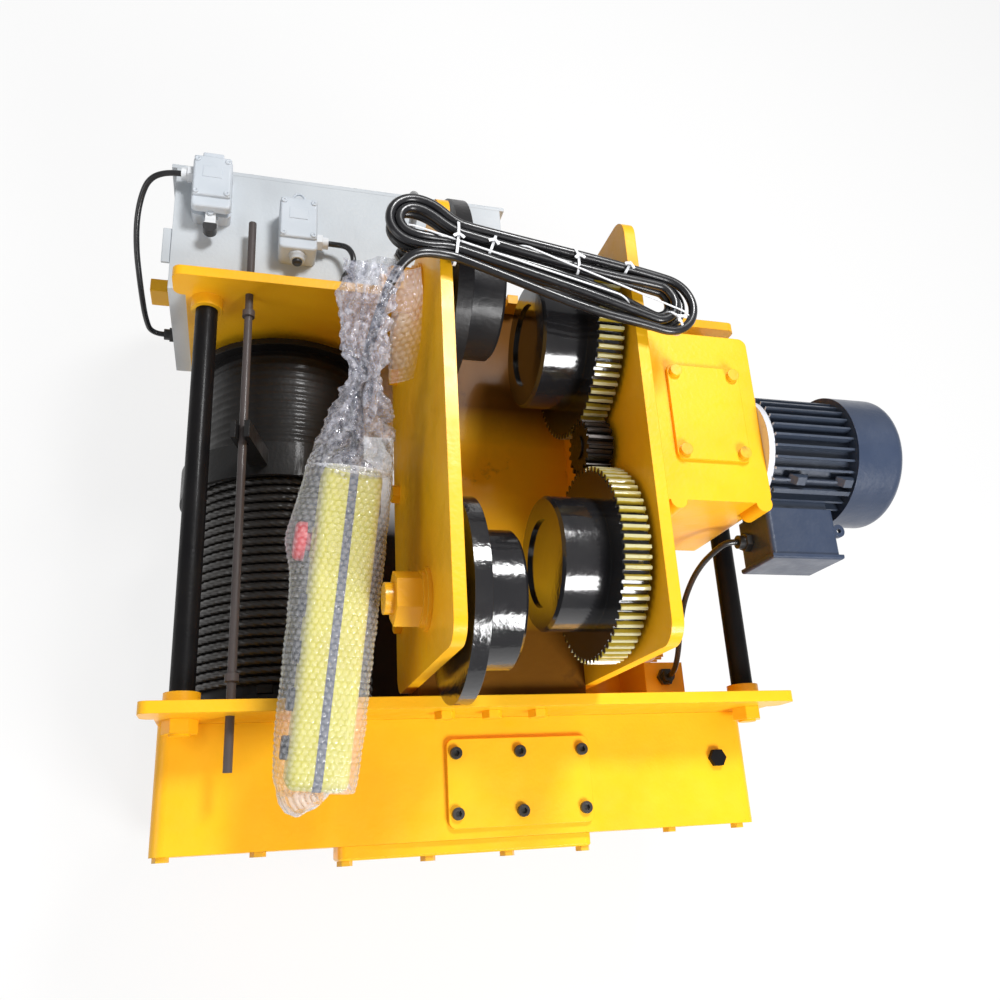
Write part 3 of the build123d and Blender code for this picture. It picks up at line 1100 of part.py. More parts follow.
with BuildPart() as switch_lever:
    disc(along("Z", (LEFT_SWITCH[0], LEVER_Y, LEVER_Z - LEVER_T / 2)), LEVER_W / 2, LEVER_T)
    block((LEFT_SWITCH[0] - LEVER_W / 2, LEVER_Y - LEVER_REACH, LEVER_Z - LEVER_T / 2),
          (LEFT_SWITCH[0] + LEVER_W / 2, LEVER_Y, LEVER_Z + LEVER_T / 2))
    disc(along("Z", (LEFT_SWITCH[0], LEVER_Y - LEVER_REACH, LEVER_Z - LEVER_T)), ROLLER_R, 2 * LEVER_T)
    disc(along("Z", (LEFT_SWITCH[0], LEVER_Y, LEVER_Z - LEVER_T)), LEVER_PIN_R + FIT, 2 * LEVER_T,
         Mode.SUBTRACT)
save("switch_lever", switch_lever)

with BuildPart() as switch_plunger:
    disc(along("Y", (PLUNGER_AXIS[0], PLUNGER_Y - PLUNGER_OUT, LEVER_Z)), PLUNGER_R, PLUNGER_OUT + PLUNGER_IN)
    fillet(switch_plunger.edges().sort_by(Axis.Y)[0], PLUNGER_R / 2)
save("switch_plunger", switch_plunger)

# Pendant
FOOT = Vector(*PENDANT_FOOT)
HEAD = Vector(*PENDANT_HEAD)
PENDANT_WAY = (HEAD - FOOT).normalized()
PENDANT_FRONT = (Vector(-1, 0, 0) + PENDANT_WAY * PENDANT_WAY.X).normalized()
PENDANT = Plane(origin=(FOOT + HEAD) * 0.5, x_dir=PENDANT_WAY, z_dir=PENDANT_FRONT)
BUTTONS_AT = [BUTTON_FIRST - step * BUTTON_PITCH for step in range(4)]


def on_pendant(x, z):
    """A plane across the pendant's front at a place along it and a height from its seam."""
    return PENDANT.offset(z).shift_origin(PENDANT.offset(z).from_local_coords((x, 0, 0)))


def pendant_half(side):
    """One half of the pendant's case, hollow, on the side given."""
    with BuildPart() as half:
        with BuildSketch(PENDANT):
            RectangleRounded(PENDANT_L, PENDANT_W, PENDANT_CORNER_R)
        extrude(amount=side * PENDANT_HALF)
        outer = half.faces().sort_by(Axis(PENDANT.origin, PENDANT.z_dir * side))[-1]
        fillet(outer.edges(), PENDANT_EDGE_R)
        seam = half.faces().sort_by(Axis(PENDANT.origin, PENDANT.z_dir * side))[0]
        chamfer(seam.edges(), PENDANT_SEAM)
        with BuildSketch(PENDANT):
            RectangleRounded(PENDANT_L - 2 * PENDANT_EDGE_R, PENDANT_W - 2 * PENDANT_EDGE_R,
                             PENDANT_CORNER_R - PENDANT_EDGE_R)
        extrude(amount=side * (PENDANT_HALF - PENDANT_WALL), mode=Mode.SUBTRACT)
        if side > 0:
            disc(on_pendant(STOP_AT, PENDANT_HALF), STOP_COLLAR_R, STOP_COLLAR_H)
            disc(on_pendant(STOP_AT, 0), STOP_STEM_R + GAP, 2 * PENDANT_HALF, Mode.SUBTRACT)
            for at in BUTTONS_AT:
                disc(on_pendant(at, 0), BUTTON_R + GAP, 2 * PENDANT_HALF, Mode.SUBTRACT)
    return half


save("pendant_case", pendant_half(-1))
save("pendant_cover", pendant_half(1))


def push_button(at):
    """A round button with a skirt that keeps it in the case."""
    inside = PENDANT_HALF - PENDANT_WALL - GAP
    with BuildPart() as button:
        disc(on_pendant(at, inside - BUTTON_SKIRT_T), BUTTON_SKIRT_R, BUTTON_SKIRT_T)
        disc(on_pendant(at, inside), BUTTON_R, PENDANT_WALL + GAP + BUTTON_OUT)
        top = button.faces().sort_by(Axis(PENDANT.origin, PENDANT.z_dir))[-1]
        fillet(top.edges(), BUTTON_EDGE_R)
    return button


for button_name, button_at in zip(("up_button", "down_button", "forward_button", "back_button"), BUTTONS_AT):
    save(button_name, push_button(button_at))

with BuildPart() as emergency_stop:
    inside = PENDANT_HALF - PENDANT_WALL - GAP
    disc(on_pendant(STOP_AT, inside - BUTTON_SKIRT_T), BUTTON_SKIRT_R, BUTTON_SKIRT_T)
    disc(on_pendant(STOP_AT, inside), STOP_STEM_R, PENDANT_HALF + STOP_RISE - inside)
    disc(on_pendant(STOP_AT, PENDANT_HALF + STOP_RISE), STOP_HEAD_R, STOP_HEAD_T)
    head = emergency_stop.faces().sort_by(Axis(PENDANT.origin, PENDANT.z_dir))[-1]
    fillet(head.edges(), STOP_HEAD_T / 2)
save("emergency_stop", emergency_stop)

# Cable glands
SWITCH_GLAND_Z = PANEL_TOP + SWITCH_H / 2
LEFT_GLAND = (LEFT_SWITCH[0] - SWITCH_W / 2, LEFT_SWITCH[1] + LEFT_GLAND_BACK, SWITCH_GLAND_Z)
RIGHT_GLAND = (RIGHT_SWITCH[0] + SWITCH_W / 2, RIGHT_SWITCH[1] - RIGHT_GLAND_FRONT, SWITCH_GLAND_Z)
WALL_GLAND = (PANEL_LEFT, 270, -230)
TOP_GLAND = (-153, 284, PANEL_TOP)
LEAD_GLAND = (-85, 330, PANEL_TOP)
BOX_GLAND = (BOX_LEFT, PAD_Y - BOX_DEPTH / 2, PINION_Z - BOX_GLAND_DROP)
HOIST_GLAND = (HOIST_BOX_RIGHT - HOIST_BOX_W / 2, HOIST_FRONT + HOIST_BOX_D / 2, HOIST_BOX_TOP)
GLANDS = [along("-X", LEFT_GLAND), along("X", RIGHT_GLAND), along("-X", WALL_GLAND), along("Z", TOP_GLAND),
          along("Z", LEAD_GLAND), along("-X", BOX_GLAND), along("Z", HOIST_GLAND),
          Plane(origin=HEAD, x_dir=PENDANT_FRONT, z_dir=PENDANT_WAY)]
with BuildPart() as cable_glands:
    for seat in GLANDS:
        extrude(hexagon(seat, 2 * GLAND_R), amount=GLAND_L / 2)
        disc(seat, GLAND_R * 0.8, GLAND_L)
save("cable_glands", cable_glands)

# Pendant cable, tied up in a hank that lies across the trolley plates
HANK_Z = TROLLEY_TOP + GAP + CABLE_D / 2
HANK = Plane(origin=(HANK_MIDDLE[0], HANK_MIDDLE[1], HANK_Z), z_dir=(0, 0, 1),
             x_dir=(cos(radians(HANK_TURN)), sin(radians(HANK_TURN)), 0))
HANK_STEP = HANK_PITCH / 2


def hank_point(u, v, layer):
    """A point of the hank: along it, towards its near side, and up by layers."""
    return HANK.from_local_coords(Vector(u, -v, layer * HANK_PITCH))


# Strands in the order in which the cable runs: distance from the middle, and the layer where the strand starts.
# It spirals in on the lower layer, climbs along the innermost strand and spirals out on the upper one.
# The first strand starts and the last one ends at the ties.
HANK_STRANDS = [(-3, 0), (2, 0), (-1, 0), (0, 0), (-1, 1), (2, 1), (-3, 1), (4, 1)]
hank_stations = []
for place, (steps, layer) in enumerate(HANK_STRANDS):
    side = 1 if place % 2 else -1
    reach = HANK_INNER + abs(steps) * HANK_STEP
    climb = 1 / 3 if (steps, layer) == (0, 0) else 0
    outer = place in (0, len(HANK_STRANDS) - 1)
    draw = HANK_END_DRAW if outer else HANK_DRAW
    along_it = [(-HANK_HALF, 0), (HANK_TIE, draw), (HANK_FAN, 0), (HANK_HALF, 0)]
    if outer:
        along_it = along_it[1:]
    if side > 0:
        along_it.reverse()
    for part, (u, drawn) in enumerate(along_it):
        point = hank_point(u, side * (reach - drawn), layer + part * climb)
        hank_stations.append((point, HANK.x_dir * -side))
cable_hank = wound_tube("cable_hank", hank_stations, CABLE_D, 3)
save("cable_hank", cable_hank)

# Cables
HANK_IN = hank_stations[0][0] - hank_stations[0][1] * CABLE_D
HANK_OUT = hank_stations[-1][0] + hank_stations[-1][1] * CABLE_D
PENDANT_TIP = HEAD + PENDANT_WAY * GLAND_L
pendant_lead = cord("pendant_lead", [
    HANK_OUT,
    HANK_OUT + hank_stations[-1][1] * LEAD_RUN,
    (-121, 135, 193),
    (-135, 126, 187),
    (-146, 110, 172),
    (-154, 86, 146),
    (-160, 62, 115),
    (-163, 40, 86),
    (-163, 20, 62),
    PENDANT_TIP + PENDANT_WAY * 2 * LEAD_RUN,
    PENDANT_TIP,
], CABLE_D)
save("pendant_lead", pendant_lead)

panel_lead = cord("panel_lead", [
    (LEAD_GLAND[0], LEAD_GLAND[1], PANEL_TOP + GLAND_L),
    (LEAD_GLAND[0], LEAD_GLAND[1], PANEL_TOP + GLAND_L + 3 * LEAD_RUN),
    (-88, 316, 20),
    (-95, 294, 82),
    (-104, 266, 130),
    (-113, 243, 155),
    (-119, 223, 169.5),
    (-117, 206.5, 176.5),
    (-109, 194.5, 178.6),
    HANK_IN - hank_stations[0][1] * HANK_LEAD,
    HANK_IN,
], CABLE_D)
save("panel_lead", panel_lead)

left_switch_cable = cord("left_switch_cable", [
    (LEFT_GLAND[0] - GLAND_L, LEFT_GLAND[1], LEFT_GLAND[2]),
    (LEFT_GLAND[0] - GLAND_L - 2 * LEAD_RUN, LEFT_GLAND[1], LEFT_GLAND[2]),
    (-392, 391, -74),
    (-402, 377, -93),
    (-407, 355, -114),
    (-407, 330, -136),
    (-404, 308, -158),
    (-401, 290, -182),
    (-398, 277, -206),
    (WALL_GLAND[0] - GLAND_L - 2 * LEAD_RUN, WALL_GLAND[1], WALL_GLAND[2]),
    (WALL_GLAND[0] - GLAND_L, WALL_GLAND[1], WALL_GLAND[2]),
], SWITCH_CABLE_D)
save("left_switch_cable", left_switch_cable)

right_switch_cable = cord("right_switch_cable", [
    (RIGHT_GLAND[0] + GLAND_L, RIGHT_GLAND[1], RIGHT_GLAND[2]),
    (RIGHT_GLAND[0] + GLAND_L + 1.5 * LEAD_RUN, RIGHT_GLAND[1], RIGHT_GLAND[2]),
    (-158, 314, -58),
    (-152, 301, -54),
    (-151, 289, -55),
    (TOP_GLAND[0], TOP_GLAND[1], PANEL_TOP + GLAND_L + LEAD_RUN),
    (TOP_GLAND[0], TOP_GLAND[1], PANEL_TOP + GLAND_L),
], SWITCH_CABLE_D)
save("right_switch_cable", right_switch_cable)

motor_cable = cord("motor_cable", [
    (BOX_GLAND[0] - GLAND_L, BOX_GLAND[1], BOX_GLAND[2]),
    (BOX_GLAND[0] - GLAND_L - 1.5 * LEAD_RUN, BOX_GLAND[1], BOX_GLAND[2]),
    (220, -99, 52),
    (214, -107, 32),
    (214, -118, 4),
    (217, -136, -28),
    (223, -160, -56),
    (228, -185, -78),
    (HOIST_GLAND[0], HOIST_GLAND[1], HOIST_GLAND[2] + GLAND_L + 1.5 * LEAD_RUN),
    (HOIST_GLAND[0], HOIST_GLAND[1], HOIST_GLAND[2] + GLAND_L),
], MOTOR_CABLE_D)
save("motor_cable", motor_cable)
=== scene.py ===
from math import cos, hypot, pi, radians, sin, sqrt

import bmesh
import bpy
from mathutils import Matrix, Vector, noise


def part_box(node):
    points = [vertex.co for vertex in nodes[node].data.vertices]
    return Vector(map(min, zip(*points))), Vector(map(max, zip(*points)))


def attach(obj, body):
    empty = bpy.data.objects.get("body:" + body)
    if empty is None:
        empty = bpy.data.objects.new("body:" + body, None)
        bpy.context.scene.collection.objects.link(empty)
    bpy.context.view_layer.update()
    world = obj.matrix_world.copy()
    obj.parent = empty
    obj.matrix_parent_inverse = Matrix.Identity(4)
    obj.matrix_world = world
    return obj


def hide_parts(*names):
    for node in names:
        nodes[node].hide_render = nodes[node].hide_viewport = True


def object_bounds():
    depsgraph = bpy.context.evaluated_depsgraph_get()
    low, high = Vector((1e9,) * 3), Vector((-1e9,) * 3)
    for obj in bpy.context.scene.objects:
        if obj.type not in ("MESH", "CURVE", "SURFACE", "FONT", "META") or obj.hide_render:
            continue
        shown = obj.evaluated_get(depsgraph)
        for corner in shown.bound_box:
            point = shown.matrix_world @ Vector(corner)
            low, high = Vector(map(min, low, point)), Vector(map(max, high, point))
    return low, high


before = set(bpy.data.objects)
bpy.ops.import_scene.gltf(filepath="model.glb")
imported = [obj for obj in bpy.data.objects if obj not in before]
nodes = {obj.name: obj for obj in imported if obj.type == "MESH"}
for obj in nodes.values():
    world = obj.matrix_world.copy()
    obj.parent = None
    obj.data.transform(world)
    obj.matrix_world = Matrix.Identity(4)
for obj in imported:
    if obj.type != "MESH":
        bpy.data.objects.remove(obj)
cad_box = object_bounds()
scene = bpy.context.scene

MM = 0.001
FAR = 9.0  # beyond the whole object
PAINT_EDGE = 0.0003  # half the soft edge of a painted patch
UP = Vector((0, 0, 1))
LEFT = Vector((-1, 0, 0))
RIGHT = Vector((1, 0, 0))


# Small helpers
def mm(*values):
    """A point given in millimetres."""
    return Vector(values) * MM


def put(name, data):
    """An object with its data, in the scene."""
    made = bpy.data.objects.new(name, data)
    scene.collection.objects.link(made)
    return made


def mesh_piece(name, points, faces, smooth=True):
    """An object made of points and faces, in the shared frame."""
    data = bpy.data.meshes.new(name)
    data.from_pydata([tuple(p) for p in points], [], faces)
    data.update()
    data.polygons.foreach_set("use_smooth", [smooth] * len(data.polygons))
    return put(name, data)


def finish_piece(made, material, body="frame"):
    """Gives a new piece its material, its slot and its body."""
    made.data.materials.clear()
    made.data.materials.append(material)
    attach(made, body)
    return made


def ring_tube(name, rings, loop=False, smooth=True):
    """A tube through rings of points that all have the same count, with closed ends or as a loop."""
    points = [p for ring in rings for p in ring]
    faces = band_faces if loop else tube_faces
    return mesh_piece(name, points, faces(len(rings), len(rings[0])), smooth)


def net_faces(rows, columns, rows_loop=False, columns_loop=False):
    """Faces between rows of points, where the last row or column may join the first."""
    faces = []
    for row in range(rows if rows_loop else rows - 1):
        first = row * columns
        second = (row + 1) % rows * columns
        for column in range(columns if columns_loop else columns - 1):
            after = (column + 1) % columns
            faces.append((first + column, first + after, second + after, second + column))
    return faces


def band_faces(rows, count):
    """Faces of a closed band of rows."""
    return net_faces(rows, count, True, True)


def tube_faces(rows, count):
    """Faces of a tube of rows with both its ends closed."""
    ends = [tuple(reversed(range(count))), tuple(range((rows - 1) * count, rows * count))]
    return net_faces(rows, count, columns_loop=True) + ends


def block(name, low, high, edge, segments=2):
    """A block between two corners, its edges rounded."""
    shape = bmesh.new()
    bmesh.ops.create_cube(shape, size=1)
    low = mm(*low)
    size = mm(*high) - low
    for vert in shape.verts:
        vert.co = low + Vector((0.5 + c) * s for c, s in zip(vert.co, size))
    bmesh.ops.bevel(shape, geom=shape.edges[:], offset=edge * MM, segments=segments, profile=0.5,
                    affect="EDGES")
    data = bpy.data.meshes.new(name)
    shape.to_mesh(data)
    shape.free()
    return put(name, data)


def angles_round(count):
    """Angles evenly round a circle."""
    return [2 * pi * step / count for step in range(count)]


def circle(middle, side, other, count):
    """Points round a circle, given in millimetres by its middle and two of its radii."""
    return [(middle + side * cos(angle) + other * sin(angle)) * MM for angle in angles_round(count)]


def lathe(origin, axis, profile, count):
    """Rings of a turned shape in millimetres: profile gives distance along the axis and radius."""
    axis = Vector(axis)
    side = axis.orthogonal().normalized()
    other = axis.cross(side)
    return [circle(Vector(origin) + axis * along, side * radius, other * radius, count)
            for along, radius in profile]


class Shade:
    """The shader nodes of a material or of the world, and the place of the point that they colour."""

    def __init__(self, owner, last="Principled BSDF"):
        owner.use_nodes = True
        self.tree = owner.node_tree
        self.last = self.tree.nodes[last]
        self.place = self.add("TexCoord", {}).outputs["Object"]

    def feed(self, inputs, node=None):
        """Gives inputs of a node, or else of the last one, their values or links."""
        node = self.last if node is None else node
        for key, value in inputs.items():
            if isinstance(value, bpy.types.NodeSocket):
                self.tree.links.new(value, node.inputs[key])
            else:
                node.inputs[key].default_value = value

    def add(self, kind, inputs, **settings):
        """A node with its settings, its values and its links."""
        made = self.tree.nodes.new("ShaderNode" + kind)
        for key, value in settings.items():
            setattr(made, key, value)
        self.feed(inputs, made)
        return made

    def cloud(self, scale, detail=3.0, rough=0.55, place=None):
        """Soft noise at a scale, in features per metre."""
        place = self.place if place is None else place
        made = self.add("TexNoise", {"Vector": place, "Scale": scale, "Detail": detail, "Roughness": rough})
        return made.outputs["Fac"]

    def level(self, value, low, high, out_low=0.0, out_high=1.0):
        """Moves a value from one range to another and keeps it there."""
        made = self.add("MapRange", {"Value": value, "From Min": low, "From Max": high, "To Min": out_low,
                                     "To Max": out_high}, clamp=True)
        return made.outputs["Result"]

    def blend(self, share, first, second):
        """A colour between two colours."""
        made = self.add("Mix", {"Factor": share}, data_type="RGBA")
        colours = [(*value, 1) if isinstance(value, tuple) else value for value in (first, second)]
        sockets = [place for place, socket in enumerate(made.inputs) if socket.type == "RGBA"]
        self.feed(dict(zip(sockets, colours)), made)
        return [socket for socket in made.outputs if socket.type == "RGBA"][0]

    def maths(self, operation, first, second=0.0):
        """A sum, product or other operation on two values."""
        return self.add("Math", {0: first, 1: second}, operation=operation).outputs[0]

    def distance(self, middles):
        """How far a point is from a line through the middles on two axes."""
        axes = self.axes()
        away = [self.maths("SUBTRACT", axes[axis], middle) for axis, middle in middles.items()]
        squares = [self.maths("MULTIPLY", value, value) for value in away]
        return self.maths("SQRT", self.maths("ADD", *squares))

    def axes(self):
        """The place along each axis."""
        return self.add("SeparateXYZ", {"Vector": self.place}).outputs

    def on_rays(self, *kinds):
        """1 for light rays of the given kinds, 0 for others."""
        path = self.add("LightPath", {})
        share = 0.0
        for kind in kinds:
            share = self.maths("MAXIMUM", share, path.outputs[f"Is {kind} Ray"])
        return share

    def bumps(self, height, strength, depth, edge=0.0):
        """Surface bumps from a height, with the edges rounded by a radius."""
        made = self.add("Bump", {"Height": height, "Strength": strength, "Distance": depth})
        if edge:
            self.feed({"Normal": self.add("Bevel", {"Radius": edge}, samples=4).outputs["Normal"]}, made)
        self.feed({"Normal": made.outputs["Normal"]})

    def inside(self, limits, soft):
        """How far a point lies inside limits along the axes, from 0 to 1, with soft edges."""
        axes = self.axes()
        share = 1.0
        for axis, (low, high) in limits.items():
            above = self.level(axes[axis], low - soft, low + soft)
            under = self.level(axes[axis], high - soft, high + soft, 1.0, 0.0)
            share = self.maths("MULTIPLY", share, self.maths("MULTIPLY", above, under))
        return share


def new_material(name, pieces=""):
    """A material with its shader nodes, given to pieces of the frame."""
    material = bpy.data.materials.new(name)
    for piece in pieces.split():
        nodes[piece].data.materials.clear()
        nodes[piece].data.materials.append(material)
    return material, Shade(material)


# Noise is read between these values, which leave its rare peaks out
TINT_NOISE = (0.35, 0.7)
GLOSS_NOISE = (0.3, 0.75)
SHEEN_NOISE = (0.3, 0.7)
MARK_NOISE = (0.25, 0.75)
STAIN_NOISE = (0.4, 0.75)
# Paint: features per metre of its tint, dirt, gloss, fine skin and waves
TINT_SCALE = 7
DIRT_SCALE = 26
GLOSS_SCALE = 45
SKIN_SCALE = 240
WAVE_SCALE = 30
WAVE_SHARE = 2.0  # of the waves in the skin's height
DIRT_SPAN = 0.16  # of the noise, between clean paint and dirt
DIRT_MOST = 0.75  # how much the dirt hides
ROUGH_SPAN = 0.2  # between the glossiest and the dullest spots
SKIN_STRENGTH = 0.18
SKIN_HEIGHT = 1.2 * MM
EDGE_R = 1.2 * MM  # of the rounded edges
THIN_EDGE_R = 0.6 * MM


def enamel(name, pieces, colour, deep, dirt, gloss, dirt_share, patches=(), edge=EDGE_R, shine=0.5,
           soft=PAINT_EDGE):
    """Gloss paint with soft variation, a little dirt, an uneven skin and painted patches."""
    material, s = new_material(name, pieces)
    wide = s.level(s.cloud(TINT_SCALE, 4), *TINT_NOISE)
    base = s.blend(wide, colour, deep)
    for limits, first, second in patches:
        base = s.blend(s.inside(limits, soft), base, s.blend(wide, first, second))
    grime = s.level(s.cloud(DIRT_SCALE, 8, 0.7), dirt_share, dirt_share + DIRT_SPAN, 0.0, DIRT_MOST)
    waves = s.maths("MULTIPLY", s.cloud(WAVE_SCALE), WAVE_SHARE)
    s.bumps(s.maths("ADD", s.cloud(SKIN_SCALE, 2), waves), SKIN_STRENGTH, SKIN_HEIGHT, edge)
    s.feed({"Base Color": s.blend(grime, base, dirt),
            "Roughness": s.level(s.cloud(GLOSS_SCALE, 4), *GLOSS_NOISE, gloss, gloss + ROUGH_SPAN),
            "Specular IOR Level": shine, "Coat Weight": shine / 2, "Coat Roughness": 0.12})
    return material


# Plastic and metal: features per metre of their tint, gloss, stains and marks, and their grain's height
TONE_SCALE = 18
SHEEN_SCALE = 60
STAIN_SCALE = 30
MARK_SCALE = 300
MARK_STRENGTH = 0.15
GRAIN_HEIGHT = 0.6 * MM
SHEEN_SPAN = 0.15  # between the glossiest and the dullest spots of plastic


def plastic(name, pieces, colour, deep, gloss, grain=900, strength=0.12, coat=0.0):
    """Moulded plastic with fine grain."""
    material, s = new_material(name, pieces)
    tone = s.level(s.cloud(TONE_SCALE, 4), *TINT_NOISE)
    s.bumps(s.cloud(grain, 2), strength, GRAIN_HEIGHT)
    s.feed({"Base Color": s.blend(tone, colour, deep), "Coat Weight": coat,
            "Roughness": s.level(s.cloud(SHEEN_SCALE), *SHEEN_NOISE, gloss, gloss + SHEEN_SPAN)})
    return material


def metal(name, pieces, colour, deep, gloss, stretch):
    """Machined or oiled metal, with marks drawn out along one direction."""
    s = new_material(name, pieces)[1]
    drawn = s.add("Mapping", {"Vector": s.place, "Scale": stretch}).outputs["Vector"]
    marks = s.cloud(MARK_SCALE, 4, place=drawn)
    stain = s.level(s.cloud(STAIN_SCALE, 5), *STAIN_NOISE)
    base = s.blend(s.level(marks, *SHEEN_NOISE), colour, deep)
    s.bumps(marks, MARK_STRENGTH, GRAIN_HEIGHT)
    s.feed({"Base Color": s.blend(stain, base, deep), "Metallic": 0.9,
            "Roughness": s.level(marks, *MARK_NOISE, gloss, gloss + ROUGH_SPAN)})


# Colours with their darker spots, dirt, and shine of the materials
YELLOWS = ((0.97, 0.52, 0.012), (0.93, 0.43, 0.008))
BLACKS = ((0.01, 0.01, 0.012), (0.02, 0.019, 0.02))
OCHRE = (0.36, 0.15, 0.012)
SOOT = (0.05, 0.04, 0.03)
MATT = 0.25  # shine of rough black parts
DULL = 0.1  # shine of greasy rods
FADED = 0.06  # shine of the girder
GIRDER_SHADE_EDGE = 25 * MM  # half the soft edge between the girder's painted shade and its unshaded yellow middle

# Patches: where on their piece they are, their colour and its darker spots
LEFT_OUTSIDE = ({"X": (-FAR, -97.5 * MM)}, *YELLOWS)
RIGHT_OUTSIDE = ({"X": (109.5 * MM, FAR)}, *YELLOWS)
NEAR_OUTSIDE = ({"Y": (-FAR, -246.5 * MM)}, *YELLOWS)
# Yellow middle of the girder, between its painted shade at both ends
GIRDER_UNSHADED_MIDDLE = ({"Y": (-140 * MM, 78 * MM)}, *YELLOWS)
# Bare machined flange of the motor: pale metal, its whiteness partly a painted reflection
MOTOR_FLANGE = ({"X": (-FAR, 256.6 * MM)}, (0.72, 0.74, 0.79), (0.6, 0.62, 0.68))
TOP_SCREWS = ({"Z": (-112 * MM, 0)}, (0.02, 0.019, 0.018), (0.05, 0.042, 0.035))
SWITCH_GLANDS = ({"X": (-FAR, -175 * MM), "Z": (-90 * MM, FAR)}, (0.8, 0.82, 0.84), (0.7, 0.72, 0.75))
LEVER_ROLLER = ({"Y": (-FAR, 325 * MM)}, (0.012, 0.012, 0.013), (0.02, 0.02, 0.021))

# Paints: their pieces, colour, darker spots and dirt, how rough they are and how rare the dirt is
ROD = ((0.005, 0.005, 0.006), (0.01, 0.009, 0.009), (0.03, 0.022, 0.016), 0.34, 0.64)
SLATE = ((0.048, 0.062, 0.094), (0.036, 0.049, 0.075), (0.014, 0.017, 0.024), 0.3, 0.62)
yellow = enamel("yellow_enamel", "near_end_plate far_end_plate gearbox_housing inspection_cover end_cover "
                "left_trolley_plate right_trolley_plate axle_nuts trolley_gearbox gearbox_lid tie_rod_nuts "
                "frame_bolts hoist_motor_housing", *YELLOWS, OCHRE, 0.3, 0.7, shine=0.28)
# The girder's colour is a dark painted shade, and only its middle keeps the yellow of the paint
enamel("girder_yellow", "suspension_girder", (0.17, 0.066, 0.006), (0.12, 0.044, 0.005), (0.05, 0.022, 0.006),
       0.6, 0.62, [GIRDER_UNSHADED_MIDDLE], shine=FADED, soft=GIRDER_SHADE_EDGE)
enamel("black_enamel", "near_plain_wheel", *BLACKS, SOOT, 0.05, 0.72, shine=0.6)
enamel("dusty_black", "far_plain_wheel", *BLACKS, SOOT, 0.3, 0.66, shine=MATT)
enamel("axle_paint", "axles", *BLACKS, (0.05, 0.035, 0.02), 0.2, 0.7, [LEFT_OUTSIDE, RIGHT_OUTSIDE])
enamel("rod_black", "oil_plug", *ROD, shine=DULL)
enamel("tie_rod_paint", "tie_rods", *ROD, [NEAR_OUTSIDE], shine=DULL)
enamel("bare_rod", "limit_rod", (0.085, 0.07, 0.068), (0.06, 0.048, 0.045), (0.03, 0.022, 0.018), 0.38, 0.6,
       shine=MATT)
enamel("slate_enamel", "trolley_motor_housing", *SLATE, [MOTOR_FLANGE], THIN_EDGE_R)
slate_trim = enamel("slate_trim", "", *SLATE)
hood_slate = enamel("hood_slate", "trolley_fan_cover terminal_box", (0.03, 0.046, 0.088),
                    (0.024, 0.037, 0.07), (0.03, 0.028, 0.028), 0.32, 0.68)
panel_paint = enamel("panel_paint", "panel_box panel_cover", (0.6, 0.64, 0.675), (0.53, 0.565, 0.6),
                     (0.36, 0.35, 0.33), 0.4, 0.7)
greasy = enamel("greasy_iron", "drum", (0.006, 0.005, 0.005), (0.01, 0.009, 0.008), (0.02, 0.015, 0.011),
                0.42, 0.6, shine=MATT)
rope_paint = enamel("greased_rope", "", (0.016, 0.014, 0.013), (0.03, 0.026, 0.022), (0.008, 0.007, 0.006),
                    0.28, 0.5)
enamel("guide_iron", "rope_guide", (0.012, 0.012, 0.013), (0.022, 0.021, 0.02), (0.04, 0.033, 0.025),
       0.36, 0.62, shine=MATT)
enamel("screw_paint", "cover_screws", (0.85, 0.48, 0.012), (0.6, 0.3, 0.012), (0.12, 0.06, 0.01), 0.3, 0.62,
       [TOP_SCREWS])
enamel("gland_paint", "cable_glands", (0.015, 0.015, 0.016), (0.024, 0.024, 0.025), (0.05, 0.045, 0.04),
       0.35, 0.7, [SWITCH_GLANDS])
enamel("lever_paint", "switch_lever", (0.78, 0.8, 0.82), (0.68, 0.7, 0.72), (0.3, 0.29, 0.27), 0.35, 0.7,
       [LEVER_ROLLER], THIN_EDGE_R)

# Metals: their pieces, colour and darker marks, how rough they are and how the marks are drawn out
ALONG_X = (0.05, 1, 1)
ALONG_Y = (1, 0.05, 1)
LAMINATED = (40, 1, 1)
metal("turned_steel", "ball_bearings", (0.55, 0.54, 0.52), (0.3, 0.28, 0.25), 0.28, ALONG_Y)
metal("hobbed_steel", "drum_gear second_shaft second_gear first_shaft first_gear output_gear layshaft",
      (0.3, 0.29, 0.28), (0.1, 0.09, 0.08), 0.3, ALONG_X)
metal("oiled_steel", "pinion_shaft", (0.085, 0.08, 0.078), (0.035, 0.03, 0.028), 0.24, ALONG_X)
metal("core_steel", "hoist_rotor trolley_rotor", (0.35, 0.35, 0.36), (0.18, 0.18, 0.19), 0.35, LAMINATED)

# Plastics: their pieces, colour and darker spots, and how rough they are
ivory = plastic("switch_plastic", "limit_switches", (0.61, 0.655, 0.71), (0.53, 0.58, 0.635), 0.36)
plastic("dark_plastic", "switch_plunger contactors", (0.014, 0.014, 0.015), (0.024, 0.024, 0.025), 0.4)
plastic("pendant_plastic", "pendant_case pendant_cover", (0.66, 0.61, 0.018), (0.6, 0.53, 0.014), 0.3)
plastic("button_plastic", "up_button down_button forward_button back_button", (0.012, 0.012, 0.013),
        (0.02, 0.02, 0.021), 0.28)
plastic("stop_plastic", "emergency_stop", (0.7, 0.02, 0.02), (0.56, 0.012, 0.014), 0.22)
gasket = plastic("gasket_rubber", "", (0.035, 0.045, 0.07), (0.06, 0.07, 0.1), 0.45)
tie_white = plastic("tie_nylon", "", (0.84, 0.85, 0.87), (0.76, 0.77, 0.8), 0.26)
sheath = plastic("cable_sheath", "", (0.008, 0.008, 0.01), (0.015, 0.015, 0.017), 0.24, 400, 0.06, 0.2)

# Geared wheels: their axles' height, where their teeth begin along X, and the radii of tips and roots
AXLE_Z = 67 * MM
GEAR_FROM = 64.5 * MM
GEAR_TIP = 98.4 * MM
GEAR_ROOT = 92.85 * MM
